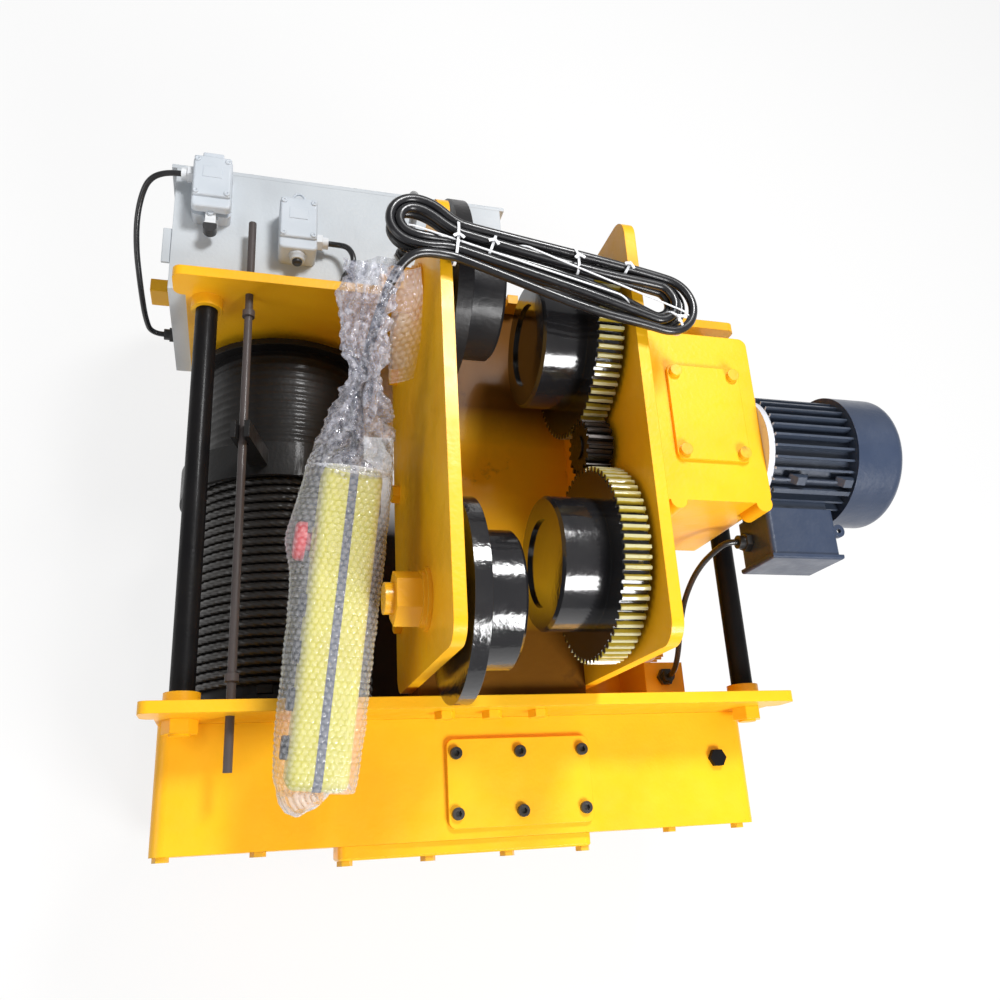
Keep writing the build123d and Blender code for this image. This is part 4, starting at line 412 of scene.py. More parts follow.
# Where the colours of the teeth begin and where they are full
RING_EDGE = (GEAR_FROM + 0.2 * MM, GEAR_FROM + 1.6 * MM)
FLANK_EDGE = (GEAR_ROOT + 0.4 * MM, GEAR_ROOT + 1.6 * MM)
LAND_EDGE = (GEAR_TIP - 1.2 * MM, GEAR_TIP - 0.4 * MM)
GEAR_RAGGED = 3 * MM  # how far these edges stray
RAGGED_SCALE = 120
COAT_SCALE = 20
GREASE_SCALE = 60
GREASE_NOISE = (0.6, 0.76)
GREASE_MOST = 0.6  # how much the grease hides
GREASE = (0.05, 0.035, 0.015)
FLANKS = ((0.44, 0.33, 0.035), (0.34, 0.24, 0.02))
LANDS = ((0.54, 0.51, 0.3), (0.48, 0.43, 0.19))
WHEEL_SKIN_SCALE = 220
WHEEL_SKIN = (0.15, 1 * MM, 0.5 * MM)  # its strength and height, and the radius of the edges
WHEEL_GLOSS_SCALE = 50
WHEEL_ROUGH = (0.06, 0.22)


def wheel_material(wheel):
    """Black enamel, with yellow flanks, dark gaps and pale tips on the teeth of the gear ring."""
    s = new_material(wheel + "_paint", wheel)[1]
    low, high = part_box(wheel)
    stray = s.maths("SUBTRACT", s.cloud(RAGGED_SCALE, 4), 0.5)
    from_axle = s.distance({"Y": (low.y + high.y) / 2, "Z": AXLE_Z})
    radius = s.maths("ADD", from_axle, s.maths("MULTIPLY", stray, GEAR_RAGGED))
    on_ring = s.level(s.axes()["X"], *RING_EDGE)
    flank = s.maths("MULTIPLY", on_ring, s.level(radius, *FLANK_EDGE))
    land = s.maths("MULTIPLY", on_ring, s.level(radius, *LAND_EDGE))
    tone = s.level(s.cloud(COAT_SCALE, 4), *TINT_NOISE)
    coat = s.blend(tone, *BLACKS)
    coat = s.blend(flank, coat, s.blend(tone, *FLANKS))
    coat = s.blend(land, coat, s.blend(tone, *LANDS))
    grime = s.level(s.cloud(GREASE_SCALE, 6, 0.7), *GREASE_NOISE, 0.0, GREASE_MOST)
    s.bumps(s.cloud(WHEEL_SKIN_SCALE, 3), *WHEEL_SKIN)
    s.feed({"Base Color": s.blend(grime, coat, GREASE),
            "Roughness": s.level(s.cloud(WHEEL_GLOSS_SCALE, 4), *GLOSS_NOISE, *WHEEL_ROUGH),
            "Coat Weight": 0.4, "Coat Roughness": 0.05})


wheel_material("near_geared_wheel")
wheel_material("far_geared_wheel")


# Camera, where the photograph was taken from
CAMERA_AT = mm(-263.6, -375.7, 885.4)
CAMERA_RIGHT = Vector((0.9611, -0.0575, 0.2696))
CAMERA_FORWARD = Vector((0.2723, 0.3471, -0.8976))
FOCAL_SHARE = 0.9122  # focal length over the picture's width
SENSOR = 36
SHIFT_X = -0.005
SHIFT_Y = 0.002
camera_data = bpy.data.cameras.new("camera")
camera_data.sensor_width = SENSOR
camera_data.lens = SENSOR * FOCAL_SHARE
camera_data.shift_x = SHIFT_X
camera_data.shift_y = SHIFT_Y
camera = put("camera", camera_data)
back = -CAMERA_FORWARD.normalized()
upward = back.cross(CAMERA_RIGHT).normalized()
across = upward.cross(back)
camera.matrix_world = Matrix.Translation(CAMERA_AT) @ Matrix((across, upward, back)).transposed().to_4x4()
scene.camera = camera


# Cables
def cable_curve(name, route, diameter):
    """A smooth cable along a route of control points."""
    data = bpy.data.curves.new(name, "CURVE")
    data.dimensions = "3D"
    data.bevel_depth = diameter / 2
    data.bevel_resolution = 5
    data.use_fill_caps = True
    spline = data.splines.new("NURBS")
    spline.points.add(len(route) - 1)
    for point, place in zip(spline.points, route):
        point.co = (*place, 1)
    spline.order_u = 3
    spline.use_endpoint_u = True
    spline.resolution_u = 10
    return put(name, data)


def line_of(curve):
    """The points along a curve, and its length."""
    bare = bpy.data.objects.new("bare", curve.data.copy())
    bare.data.bevel_depth = 0
    mesh = bpy.data.meshes.new_from_object(bare)
    points = [v.co.copy() for v in mesh.vertices]
    bpy.data.meshes.remove(mesh)
    bpy.data.curves.remove(bare.data)
    return points, sum((b - a).length for a, b in zip(points, points[1:]))


def cable(name, route, diameter, replaced):
    """A cable that leaves one gland and goes into another."""
    made = cable_curve(name, route, diameter)
    finish_piece(made, sheath)
    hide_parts(*replaced)
    length = line_of(made)[1]


def leave(gland, way, run):
    """Two points straight out of a gland: at its end, and after a run."""
    start = Vector(gland) + way * GLAND_L
    return [start * MM, (start + way * run) * MM]


def join(leaving, points, entering=()):
    """A route from one gland over points to another."""
    return [*leaving, *(mm(*point) for point in points), *reversed(entering)]


GLAND_L = 14
PANEL_TOP = -83
PANEL_LEFT = -362.5
LEFT_GLAND = (-341.5, 397, -66)
RIGHT_GLAND = (-195, 321, -66)
WALL_GLAND = (PANEL_LEFT, 270, -230)
TOP_GLAND = (-153, 284, PANEL_TOP)
LEAD_GLAND = (-85, 330, PANEL_TOP)
PINION_Z = 78.08
BOX_GLAND = (254, -93, PINION_Z - 12)
HOIST_GLAND = (230.5, -202.5, -126)

left_way = [(-392, 391, -74), (-402, 377, -93), (-407, 355, -114), (-407, 330, -136), (-404, 308, -158),
            (-401, 290, -182), (-398, 277, -206)]
left_route = join(leave(LEFT_GLAND, LEFT, 16), left_way, leave(WALL_GLAND, LEFT, 16))
right_way = [(-158, 314, -58), (-152, 301, -54), (-151, 289, -55)]
right_route = join(leave(RIGHT_GLAND, RIGHT, 12), right_way, leave(TOP_GLAND, UP, 8))
motor_way = [(220, -99, 52), (214, -107, 32), (214, -118, 4), (217, -136, -28), (223, -160, -56),
             (228, -185, -78)]
motor_route = join(leave(BOX_GLAND, LEFT, 12), motor_way, leave(HOIST_GLAND, UP, 12))
SWITCH_CABLE_D = 7 * MM
MOTOR_CABLE_D = 6.5 * MM
cable("left_switch_wire", left_route, SWITCH_CABLE_D, ["left_switch_cable"])
cable("right_switch_wire", right_route, SWITCH_CABLE_D, ["right_switch_cable"])
cable("motor_wire", motor_route, MOTOR_CABLE_D, ["motor_cable"])

# Pendant cable: from the panel up to the hank, round its turns, and down to the pendant
CABLE_D = 9
TROLLEY_TOP = 174
HANK_CLEAR = 0.3  # over the trolley
HANK_PITCH = 10.1  # between layers
HANK_STEP = HANK_PITCH / 2
HANK_HALF = 124  # half of its straight length
HANK_TIE = -82  # along it, where the ties draw it in
HANK_TIE_HALF = 9  # half of the stretch that they keep drawn in
HANK_FAN = 50  # along it, where its strands have fanned out
HANK_INNER = 12  # how far its inmost loop reaches
HANK_MIDDLE = (1, 141)
HANK_TURN = -13
HANK_Z = TROLLEY_TOP + HANK_CLEAR + CABLE_D / 2
# Each strand's steps from the middle and its layer
HANK_STRANDS = [(-3, 0), (2, 0), (-1, 0), (0, 0), (-1, 1), (2, 1), (-3, 1), (4, 1)]
HANK_WAIST = [-16, 14, -5, 4.7, -4.7, 14, -14, 24]  # each strand's place across the hank at the ties
HANK_SPREAD = [-26, 11, -14, -2, -9, 17, -24, 36]  # and where they fan out
HANK_SLACK = [0, 5, -3, 4, -5, 3, 4]  # how much further than its neighbours a loop reaches
CORNER = 0.414  # of a loop's radius, where its control points stand off
hank_way = Vector((cos(radians(HANK_TURN)), sin(radians(HANK_TURN)), 0))
hank_side = Vector((sin(radians(HANK_TURN)), -cos(radians(HANK_TURN)), 0))
hank_origin = Vector((*HANK_MIDDLE, HANK_Z))


def hank_point(u, v, layer):
    """A point of the hank: along it, towards its near side, and up by layers."""
    return (hank_origin + hank_way * u + hank_side * v + UP * layer * HANK_PITCH) * MM


def hank_route():
    """Control points of the hank's strands and of the loops that join them."""
    route = []
    reaches = [HANK_INNER + abs(steps) * HANK_STEP for steps, layer in HANK_STRANDS]
    loops = [(reaches[place] + reaches[place + 1]) / 2 for place in range(len(reaches) - 1)]
    last = len(HANK_STRANDS) - 1
    for place, (steps, layer) in enumerate(HANK_STRANDS):
        side = 1 if place % 2 else -1
        reach = side * reaches[place]
        waist = HANK_WAIST[place]
        before = loops[place - 1] if place else 0
        after = loops[place] if place < last else 0
        left, right = (after, before) if side > 0 else (before, after)
        stations = [(HANK_TIE - HANK_TIE_HALF, waist), (HANK_TIE + HANK_TIE_HALF, waist),
                    (HANK_FAN, HANK_SPREAD[place]), (HANK_HALF - CORNER * right, reach)]
        if place not in (0, last):
            stations.insert(0, (-HANK_HALF + CORNER * left, reach))
        if side > 0:
            stations.reverse()
        # The strand in the middle of the lower layer climbs to the upper one
        climb = 1 / (len(stations) - 1) if (steps, layer) == (0, 0) else 0
        for part, (u, v) in enumerate(stations):
            route.append(hank_point(u, v, layer + part * climb))
        if place < last:
            top = layer + (len(stations) - 1) * climb
            middle = side * (reaches[place] - reaches[place + 1]) / 2
            for out, over in ((CORNER, 1), (1, CORNER), (1, -CORNER), (CORNER, -1)):
                u = HANK_HALF + HANK_SLACK[place] + out * after
                route.append(hank_point(-side * u, middle + side * over * after, top))
    return route


PENDANT_FOOT = Vector((-192.2, -321.7, -15))
PENDANT_HEAD = Vector((-164.1, -22.2, 42))
pendant_way = (PENDANT_HEAD - PENDANT_FOOT).normalized()
pendant_front = (LEFT + pendant_way * pendant_way.x).normalized()
pendant_up = pendant_way.cross(pendant_front)
pendant_middle = (PENDANT_FOOT + PENDANT_HEAD) / 2
panel_way = [(-91, 303, 13), (-100, 280, 73), (-109, 253, 123), (-116, 232, 151), (-120, 217, 167),
             (-117, 206.5, 176.5), (-109, 194.5, 178.6)]
down_way = [(-121, 135, 193), (-135, 126, 187), (-146, 110, 172), (-154, 86, 146), (-160, 62, 115),
            (-163, 40, 86), (-163, 20, 62)]
pendant_route = join(leave(LEAD_GLAND, UP, 24), panel_way) + hank_route()
pendant_route += join([], down_way, leave(PENDANT_HEAD, pendant_way, 16))

# White ties round the hank, with two loose tails each
TIE_WIDE = 2.6
TIE_THICK = 1.0
TIE_HALF_HIGH = 11.5
TIE_STEPS = 40
TIE_TAIL = 9
TAIL_STEPS = (0, 0.35, 0.7, 1)  # shares of a tail's length
TAIL_BACK = 0.25  # share of it that lies behind the knot
TAIL_LEAN = 0.9  # how far it leans across the hank
TAIL_LIFT = 1.2
TAIL_ARCH = 2.2
TAIL_CURL = 0.6  # share of a half turn that it bends through
STRIP = ((-1, 0), (1, 0), (1, 1), (-1, 1))  # corners of a strip, across it and through it
# Each tie's place along the hank and across it, half its width and its turn in degrees
TIES = {
    "tie_waist": (HANK_TIE - 4, 4, 24, 8),
    "tie_second": (-52, -2, 12, -6),
    "tie_middle": (31, -16, 13, 20),
    "tie_fourth": (84, -25, 9, -15),
    "tie_right": (140, 18, 12, 50),
}


def strip(spot, across, up):
    """Corners of a tie's strip at a spot."""
    return [(spot + across * wide * TIE_WIDE / 2 + up * thick * TIE_THICK) * MM for wide, thick in STRIP]


def tie(name, u, v, half_wide, turn):
    """A nylon tie round part of the hank, turned a little, with its tails on top."""
    middle = hank_point(u, v, 0.5) / MM
    across = (Matrix.Rotation(radians(turn), 3, "Z") @ hank_side).normalized()
    along = across.cross(UP)
    points = []
    for angle in angles_round(TIE_STEPS):
        spot = middle + across * cos(angle) * half_wide + UP * sin(angle) * TIE_HALF_HIGH
        outward = (across * cos(angle) / half_wide + UP * sin(angle) / TIE_HALF_HIGH).normalized()
        points.extend(strip(spot, along, outward))
    faces = band_faces(TIE_STEPS, len(STRIP))
    top = middle + UP * TIE_HALF_HIGH
    tail_faces = tube_faces(len(TAIL_STEPS), len(STRIP))
    for way in (1, -1):
        lean = (along * way + across * TAIL_LEAN).normalized()
        flat = lean.cross(UP).normalized()
        first = len(points)
        for share in TAIL_STEPS:
            spot = top + lean * (share - TAIL_BACK) * TIE_TAIL
            rise = UP * (TAIL_LIFT + TAIL_ARCH * sin(pi * share * TAIL_CURL))
            points.extend(strip(spot + rise, flat, UP))
        faces.extend(tuple(first + corner for corner in face) for face in tail_faces)
    made = mesh_piece(name, points, faces, smooth=False)
    return finish_piece(made, tie_white)


# Thin white strain wires along the top of the hank, held by the ties
WIRE_D = 1.8
WIRE_LAYER = 1.5  # layers up, on the upper strands
WIRE_DIP = 0.9  # layers that a wire's ends go down between the strands
WIRE_BEND = 7  # how far from its end a wire begins to go down
WIRE_HELD = (0.1, 0.9)  # shares of its way between which it lies straight
# Each wire's ends, along the hank and across it
STRAIN_WIRES = {
    "strain_wire_left": ((-142, 7.5), (92, 11.5)),
    "strain_wire_right": ((-32, -10), (158, 8)),
}


def strain_wire(name, start, end):
    """A wire laid straight along the hank, between two places on it."""
    first = hank_point(start[0] + WIRE_BEND, start[1], WIRE_LAYER)
    second = hank_point(end[0] - WIRE_BEND, end[1], WIRE_LAYER)
    held = [first.lerp(second, share) for share in WIRE_HELD]
    low = WIRE_LAYER - WIRE_DIP
    route = [hank_point(*start, low), first, *held, second, hank_point(*end, low)]
    return finish_piece(cable_curve(name, route, WIRE_D * MM), tie_white)


ties = [tie(name, *values) for name, values in TIES.items()]
wires = [strain_wire(name, *ends) for name, ends in STRAIN_WIRES.items()]
cable("pendant_cable", pendant_route, CABLE_D * MM, ["panel_lead", "cable_hank", "pendant_lead"])


# Rubber band in the pendant's seam
PENDANT_L = 306
PENDANT_W = 62
PENDANT_CORNER = 15
BAND_HALF = 4
BAND_PROUD = 0.6
BAND_SUNK = 1


def on_pendant(along, up, front):
    """A point given along the pendant, up and towards its buttons from its middle."""
    return (pendant_middle + pendant_way * along + pendant_up * up + pendant_front * front) * MM


def rounded_outline(length, width, corner, steps=10):
    """Points round a rectangle with round corners."""
    points = []
    for quarter in range(4):
        middle_x = (length / 2 - corner) * (1 if quarter in (0, 3) else -1)
        middle_y = (width / 2 - corner) * (1 if quarter in (0, 1) else -1)
        for step in range(steps + 1):
            angle = pi / 2 * (quarter + step / steps)
            points.append((middle_x + corner * cos(angle), middle_y + corner * sin(angle)))
    return points


band_outer = rounded_outline(PENDANT_L + 2 * BAND_PROUD, PENDANT_W + 2 * BAND_PROUD, PENDANT_CORNER)
band_inner = rounded_outline(PENDANT_L - 2 * BAND_SUNK, PENDANT_W - 2 * BAND_SUNK, PENDANT_CORNER)
band_rings = []
for outer, inner in zip(band_outer, band_inner):
    band_rings.append([on_pendant(*inner, -BAND_HALF), on_pendant(*outer, -BAND_HALF),
                       on_pendant(*outer, BAND_HALF), on_pendant(*inner, BAND_HALF)])
band = ring_tube("pendant_band", band_rings, loop=True, smooth=False)
finish_piece(band, gasket)

# Bubble wrap round the pendant and its lead
BUBBLE_PITCH = 6.4
BUBBLE_ROW = 0.866 * BUBBLE_PITCH  # between rows of bubbles
BUBBLE_R = 2.9
BUBBLE_H = 1.8
WRAP_STEP = 1.6
WRAP_ROUND = 165  # points round the wrap
WRAP_COLUMNS = WRAP_ROUND + 5  # the same with the strip where its long edges overlap underneath
WRAP_LAP = 0.5  # how far the outer edge lies over the inner one
WRAP_GIRTH = 250  # its usual length round
WRAP_TIP = 8  # how far the tip leans aside
FINE = 20  # parts that a span between stations is divided into
LOOSE_FROM = 318  # along the wrap, where it leaves the pendant's head
LOOSE_RUN = 30  # and how soon it is loose
FOOT_FOLD = 11  # how much of it is folded in under the pendant's foot
SEAM_RISE = 8  # how steeply it rises beside the overlap
SEAM_FLAT = 0.7
TIGHT_OUT = 1.1  # how far it stands off
TIGHT_FOLD = 0.9  # height of its folds on the pendant
LOOSE_FOLD = 3.4  # and past it
LOOSE_FLAT = 0.75  # how much flatter the bubbles are there
FOLDS = (0.055, 0.13, 0.6)  # features per millimetre, coarse and fine, and how much the fine ones count
CRUMPLES = (0.16, 0.27, 0.7, Vector((2, 9, 4)))  # the same, and where the fine ones begin
CRUMPLE_H = 2.2
CREASE_SCALE = 0.032
CREASE_SEED = Vector((7, 3, 1))
CREASE_WIDE = 0.16
CREASE_DEEP = 9
PLEATS = 17  # round the wrap where it is gathered
PLEAT_H = 2.6
PLEAT_STRAY = 3
PLEAT_SCALE = 0.03
MOUTH_ROWS = 20
MOUTH_WAVE = 12
MOUTH_SEED = 5
MOUTH_OUT = 0.3


def wrap_station(along, front, rear, up, down, square, aside=0):
    """A station of the wrap on the pendant's line."""
    middle = pendant_middle + pendant_way * along + Vector((aside, 0, 0))
    return (*middle, front, rear, up, down, square)


# Stations of the wrap, from its gathered tip to its open mouth: first on the pendant's line, then along its
# lead. Each has its middle, how far it reaches to the front, to the rear, up and down, and how square it is.
WRAP_STATIONS = [wrap_station(*row) for row in [
    (-164, 4, 4, 4, 3, 2, WRAP_TIP),
    (-160, 18, 18, 17, 14, 2.2, WRAP_TIP / 2),
    (-155, 30, 30, 29, 27, 2.8),
    (-143, 36, 35, 35, 32, 3.4),
    (-100, 40, 37, 36, 32, 3.6),
    (-50, 41, 37, 36, 32, 3.6),
    (0, 42, 37.5, 36.5, 32, 3.6),
    (45, 45, 38, 37, 32.5, 3.4),
    (76, 53, 38, 38, 33, 3.2),
    (105, 49, 38, 38, 33, 3.2),
    (135, 44, 38, 37, 34, 3),
    (155, 42, 37, 36, 34, 2.8),
]] + [
    (-160, 0, 62, 38, 34, 30, 28, 2.4),
    (-159, 20, 84, 28, 28, 24, 22, 2.2),
    (-157.5, 38, 102, 20, 19, 17, 16, 2),
    (-157.5, 51, 113, 16, 16, 15, 15, 2),
    (-160, 66, 127, 23, 19, 18, 16, 2),
    (-164, 84, 142, 22, 22, 20, 18, 2),
    (-165.5, 100, 156, 22, 26, 20, 18, 2),
    (-165, 114, 168, 22, 30, 21, 17, 2),
    (-165, 126, 178, 21, 33, 19, 14, 2),
]


def smooth_row(rows, at):
    """A row of numbers on a smooth curve through rows, at a place that counts rows from 0."""
    place = min(int(at), len(rows) - 2)
    t = at - place
    before, first, second, after = (rows[min(max(place + step, 0), len(rows) - 1)] for step in (-1, 0, 1, 2))
    mixed = []
    for p, q, r, s in zip(before, first, second, after):
        mixed.append(0.5 * (2 * q + (r - p) * t + (2 * p - 5 * q + 4 * r - s) * t ** 2
                            + (3 * q - p - 3 * r + s) * t ** 3))
    return mixed


def even_steps(lengths, step):
    """Places along a line of given piece lengths that stand a step apart, as counts of pieces."""
    places = []
    gone = 0.0
    target = 0.0
    for index, length in enumerate(lengths):
        while target <= gone + length and length > 0:
            places.append(index + (target - gone) / length)
            target += step
        gone += length
    return places


def bulge(value, plus, minus, square):
    """A sine or cosine drawn out into a squarish section."""
    return abs(value) ** (2 / square) * (plus if value > 0 else -minus)


def section(front, rear, up, down, square, count):
    """Points evenly round a squarish closed section, starting underneath, with its length round."""
    fine = []
    for angle in angles_round(3 * count):
        turned = angle - pi / 2
        fine.append(Vector((bulge(cos(turned), front, rear, square), bulge(sin(turned), up, down, square))))
    lengths = [(b - a).length for a, b in zip(fine, fine[1:] + fine[:1])]
    girth = sum(lengths)
    points = []
    for at in even_steps(lengths, girth / count)[:count]:
        index = int(at)
        points.append(fine[index].lerp(fine[(index + 1) % len(fine)], at - index))
    return points, girth


def bubble(along, around):
    """Height of a bubble, from 0 to 1, where the wrap lies flat."""
    row = round(along / BUBBLE_ROW)
    shift = BUBBLE_PITCH / 2 * (row % 2)
    middle = round((around - shift) / BUBBLE_PITCH) * BUBBLE_PITCH + shift
    away = hypot(along - row * BUBBLE_ROW, around - middle) / BUBBLE_R
    return sqrt(1 - away * away) if away < 1 else 0.0


def clamp(value):
    """Keeps a value from 0 to 1."""
    return min(max(value, 0), 1)


def two_noises(place, coarse, fine, share, seed=Vector()):
    """Coarse noise with a share of finer noise."""
    return noise.noise(place * coarse) + share * noise.noise(place * fine + seed)


def wrap_shape():
    """Points of the bubble wrap, row by row, and the height of the bubble at each."""
    fine = [smooth_row(WRAP_STATIONS, step / FINE) for step in range((len(WRAP_STATIONS) - 1) * FINE + 1)]
    lengths = [(Vector(b[:3]) - Vector(a[:3])).length for a, b in zip(fine, fine[1:])]
    rows = [smooth_row(WRAP_STATIONS, at / FINE) for at in even_steps(lengths, WRAP_STEP)]
    total = len(rows)
    points = []
    heights = []
    for index, row in enumerate(rows):
        middle = Vector(row[:3])
        way = (Vector(rows[min(index + 1, total - 1)][:3]) - Vector(rows[max(index - 1, 0)][:3])).normalized()
        front = (pendant_front - way * pendant_front.dot(way)).normalized()
        up = way.cross(front)
        flat, girth = section(*row[3:], WRAP_ROUND)
        along = index * WRAP_STEP
        loose = clamp((along - LOOSE_FROM) / LOOSE_RUN)
        mouth = clamp((index - total + MOUTH_ROWS) / MOUTH_ROWS)
        gather = clamp(1 - girth / WRAP_GIRTH)
        for column in range(WRAP_COLUMNS):
            side = column % WRAP_ROUND
            share = side / WRAP_ROUND
            over = clamp(min(share, 1 - share) * SEAM_RISE - SEAM_FLAT)
            ahead = flat[(side + 1) % WRAP_ROUND] - flat[side - 1]
            outward = Vector((ahead.y, -ahead.x)).normalized()
            high = bubble(along, share * WRAP_GIRTH) * over
            place = middle + front * flat[side].x + up * flat[side].y
            folds = two_noises(place, *FOLDS)
            crease = max(CREASE_WIDE - abs(noise.noise(place * CREASE_SCALE + CREASE_SEED)), 0) / CREASE_WIDE
            high *= 1 - LOOSE_FLAT * loose
            out = BUBBLE_H * high + over * (TIGHT_OUT + TIGHT_FOLD * folds)
            crumple = CRUMPLE_H * two_noises(place, *CRUMPLES)
            out += loose * (LOOSE_FOLD * folds + crumple - CREASE_DEEP * crease)
            angle = 2 * pi * share
            out += PLEAT_H * gather * sin(angle * PLEATS + PLEAT_STRAY * noise.noise(place * PLEAT_SCALE))
            stray = noise.noise(Vector((cos(angle), sin(angle), MOUTH_SEED)))
            wave = MOUTH_WAVE * mouth * (stray + MOUTH_OUT)
            if column != side:
                out += WRAP_LAP
            spot = flat[side] + outward * out
            points.append((middle + front * spot.x + up * spot.y + way * wave) * MM)
            heights.append(high)
    return points, heights


# Painted highlight on the tops of the bubbles
BUBBLE_HIGHLIGHT = (0.95, 0.96, 1.0)
BUBBLE_HIGHLIGHT_DIM = (0.84, 0.86, 0.95)
BUBBLE_EDGE = (0.15, 0.75)  # shares of its height where a bubble's painted highlight begins and where it is full
FILM_NOISE = (0.36, 0.64)
FILM_SKIN_SCALE = 360
FILM_SKIN = (0.5, 1.4 * MM)  # its strength and height
FILM_GLOSS_SCALE = 140
FILM_ROUGH = (0.03, 0.14)


def wrap_material(name, opaque, dim, pale, grain):
    """Clear film: a painted highlight whitens the bubbles, and the film between them is greyer, in patches of
    painted shade and painted glints.
    """
    material, s = new_material(name)
    raised = s.add("Attribute", {}, attribute_name="bubble").outputs["Fac"]
    # Patches of painted shade and painted glints in the film
    glint_shade_patches = s.level(s.cloud(grain, 5, 0.65), *FILM_NOISE)
    low = s.blend(glint_shade_patches, dim, pale)
    high = s.blend(glint_shade_patches, BUBBLE_HIGHLIGHT, BUBBLE_HIGHLIGHT_DIM)
    s.bumps(s.cloud(FILM_SKIN_SCALE, 4), *FILM_SKIN)
    s.feed({"Base Color": s.blend(s.level(raised, *BUBBLE_EDGE), low, high),
            "Roughness": s.level(s.cloud(FILM_GLOSS_SCALE, 3), *SHEEN_NOISE, *FILM_ROUGH),
            "Alpha": opaque, "Coat Weight": 1.0, "Coat Roughness": 0.04})
    return material


def film(name, points, faces, heights, material):
    """A piece of bubble wrap, with the height of its bubbles kept on its points."""
    made = mesh_piece(name, points, faces)
    made.data.attributes.new("bubble", "FLOAT", "POINT").data.foreach_set("value", heights)
    return finish_piece(made, material)


# Films: how opaque they are, the darker and paler colours of their patches of painted shade and painted
# glints, and the scale of these patches
body_film = wrap_material("wrap_film", 0.25, (0.34, 0.36, 0.42), (0.6, 0.62, 0.68), 90)
gathered_film = wrap_material("gathered_film", 0.4, (0.1, 0.11, 0.17), (0.88, 0.89, 1.0), 170)
flap_film = wrap_material("flap_film", 0.26, (0.3, 0.32, 0.42), (0.84, 0.8, 0.86), 200)
GATHER_RAGGED = 22  # how far the edge of the gathered film strays
GATHER_SCALE = 0.12
GATHER_BEFORE = 8  # how far before the loose part it begins
wrap_points, wrap_heights = wrap_shape()
wrap_faces = net_faces(len(wrap_points) // WRAP_COLUMNS, WRAP_COLUMNS)
wrap = film("bubble_wrap", wrap_points, wrap_faces, wrap_heights, body_film)
wrap.data.materials.append(gathered_film)
for face in wrap.data.polygons:
    along = face.index // (WRAP_COLUMNS - 1) * WRAP_STEP
    ragged = GATHER_RAGGED * noise.noise(face.center / MM * GATHER_SCALE)
    at_head = along + ragged > LOOSE_FROM - GATHER_BEFORE
    at_foot = along < FOOT_FOLD + ragged / 3
    face.material_index = 1 if at_head or at_foot else 0

# Loose flap of the wrap that hangs from its mouth to the trolley plate
FLAP_LEFT = [(-141, 121, 178), (-140, 97, 150), (-139, 71, 120), (-135, 47, 98)]
FLAP_RIGHT = [(-117, 129, 178), (-111, 110, 152), (-108.5, 84, 124), (-111, 55, 99)]
FLAP_ROWS = 66
FLAP_COLUMNS = 20
FLAP_WIDE = 30
FLAP_SWELL = 5
FLAP_FOLD = 2.5
FLAP_SCALE = 0.05
FLAP_OUT = Vector((0.1, -0.6, 0.8))
flap_points = []
flap_heights = []
for row in range(FLAP_ROWS + 1):
    at = (len(FLAP_LEFT) - 1) * row / FLAP_ROWS
    left = Vector(smooth_row(FLAP_LEFT, at))
    right = Vector(smooth_row(FLAP_RIGHT, at))
    for column in range(FLAP_COLUMNS + 1):
        share = column / FLAP_COLUMNS
        place = left.lerp(right, share)
        high = bubble(row * WRAP_STEP, share * FLAP_WIDE)
        swell = FLAP_SWELL * sin(pi * share) + FLAP_FOLD * noise.noise(place * FLAP_SCALE) + BUBBLE_H * high
        flap_points.append((place + FLAP_OUT * swell) * MM)
        flap_heights.append(high)
flap_faces = net_faces(FLAP_ROWS + 1, FLAP_COLUMNS + 1)
flap = film("wrap_flap", flap_points, flap_faces, flap_heights, flap_film)


# Hoist rope, six strands laid round each other, wound on the drum
DRUM_X = -218.5
SHAFT_Z = -249
DRUM_R = 102.8
ROPE_D = 10
ROPE_CLEAR = 0.1
ROPE_R = DRUM_R + ROPE_D / 2 + ROPE_CLEAR
ROPE_PITCH = 10.6
ROPE_TURNS = 24
ROPE_START_Y = -208
ROPE_LAY = 66 * MM
TURN_POINTS = 16
ROPE_FINE = 8  # parts between two of these points
STRANDS = 6
STRAND_POINTS = 4
STRAND_GAP = 0.84  # of the rope's radius, between two strands
# A smooth curve passes inside its control points
rope_control = ROPE_R / (0.75 + 0.25 * cos(2 * pi / TURN_POINTS))
rope_route = []
for step in range(ROPE_TURNS * TURN_POINTS + 1):
    angle = 2 * pi * step / TURN_POINTS
    rope_route.append(mm(DRUM_X + rope_control * sin(angle), ROPE_START_Y + ROPE_PITCH * step / TURN_POINTS,
                         SHAFT_Z + rope_control * cos(angle)))
rope_curve = cable_curve("rope_line", rope_route, ROPE_D * MM)
rope_curve.data.splines[0].resolution_u = ROPE_FINE
rope_line, rope_length = line_of(rope_curve)
bpy.data.objects.remove(rope_curve)


def rope_rings(line):
    """Rings of a six-strand rope that turn with its lay."""
    rings = []
    gone = 0.0
    for place, point in enumerate(line):
        before = line[max(place - 1, 0)]
        after = line[min(place + 1, len(line) - 1)]
        gone += (point - before).length
        way = (after - before).normalized()
        outward = Vector((point.x - DRUM_X * MM, 0, point.z - SHAFT_Z * MM))
        outward = (outward - way * outward.dot(way)).normalized()
        sideways = way.cross(outward)
        ring = []
        for angle in angles_round(STRANDS * STRAND_POINTS):
            lobe = abs(sin(STRANDS * angle / 2))
            radius = ROPE_D / 2 * MM * (STRAND_GAP + (1 - STRAND_GAP) * lobe)
            turned = angle + 2 * pi * gone / ROPE_LAY
            ring.append(point + (outward * cos(turned) + sideways * sin(turned)) * radius)
        rings.append(ring)
    return rings


rope = ring_tube("laid_rope", rope_rings(rope_line))
finish_piece(rope, rope_paint, "drum")
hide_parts("hoist_rope")


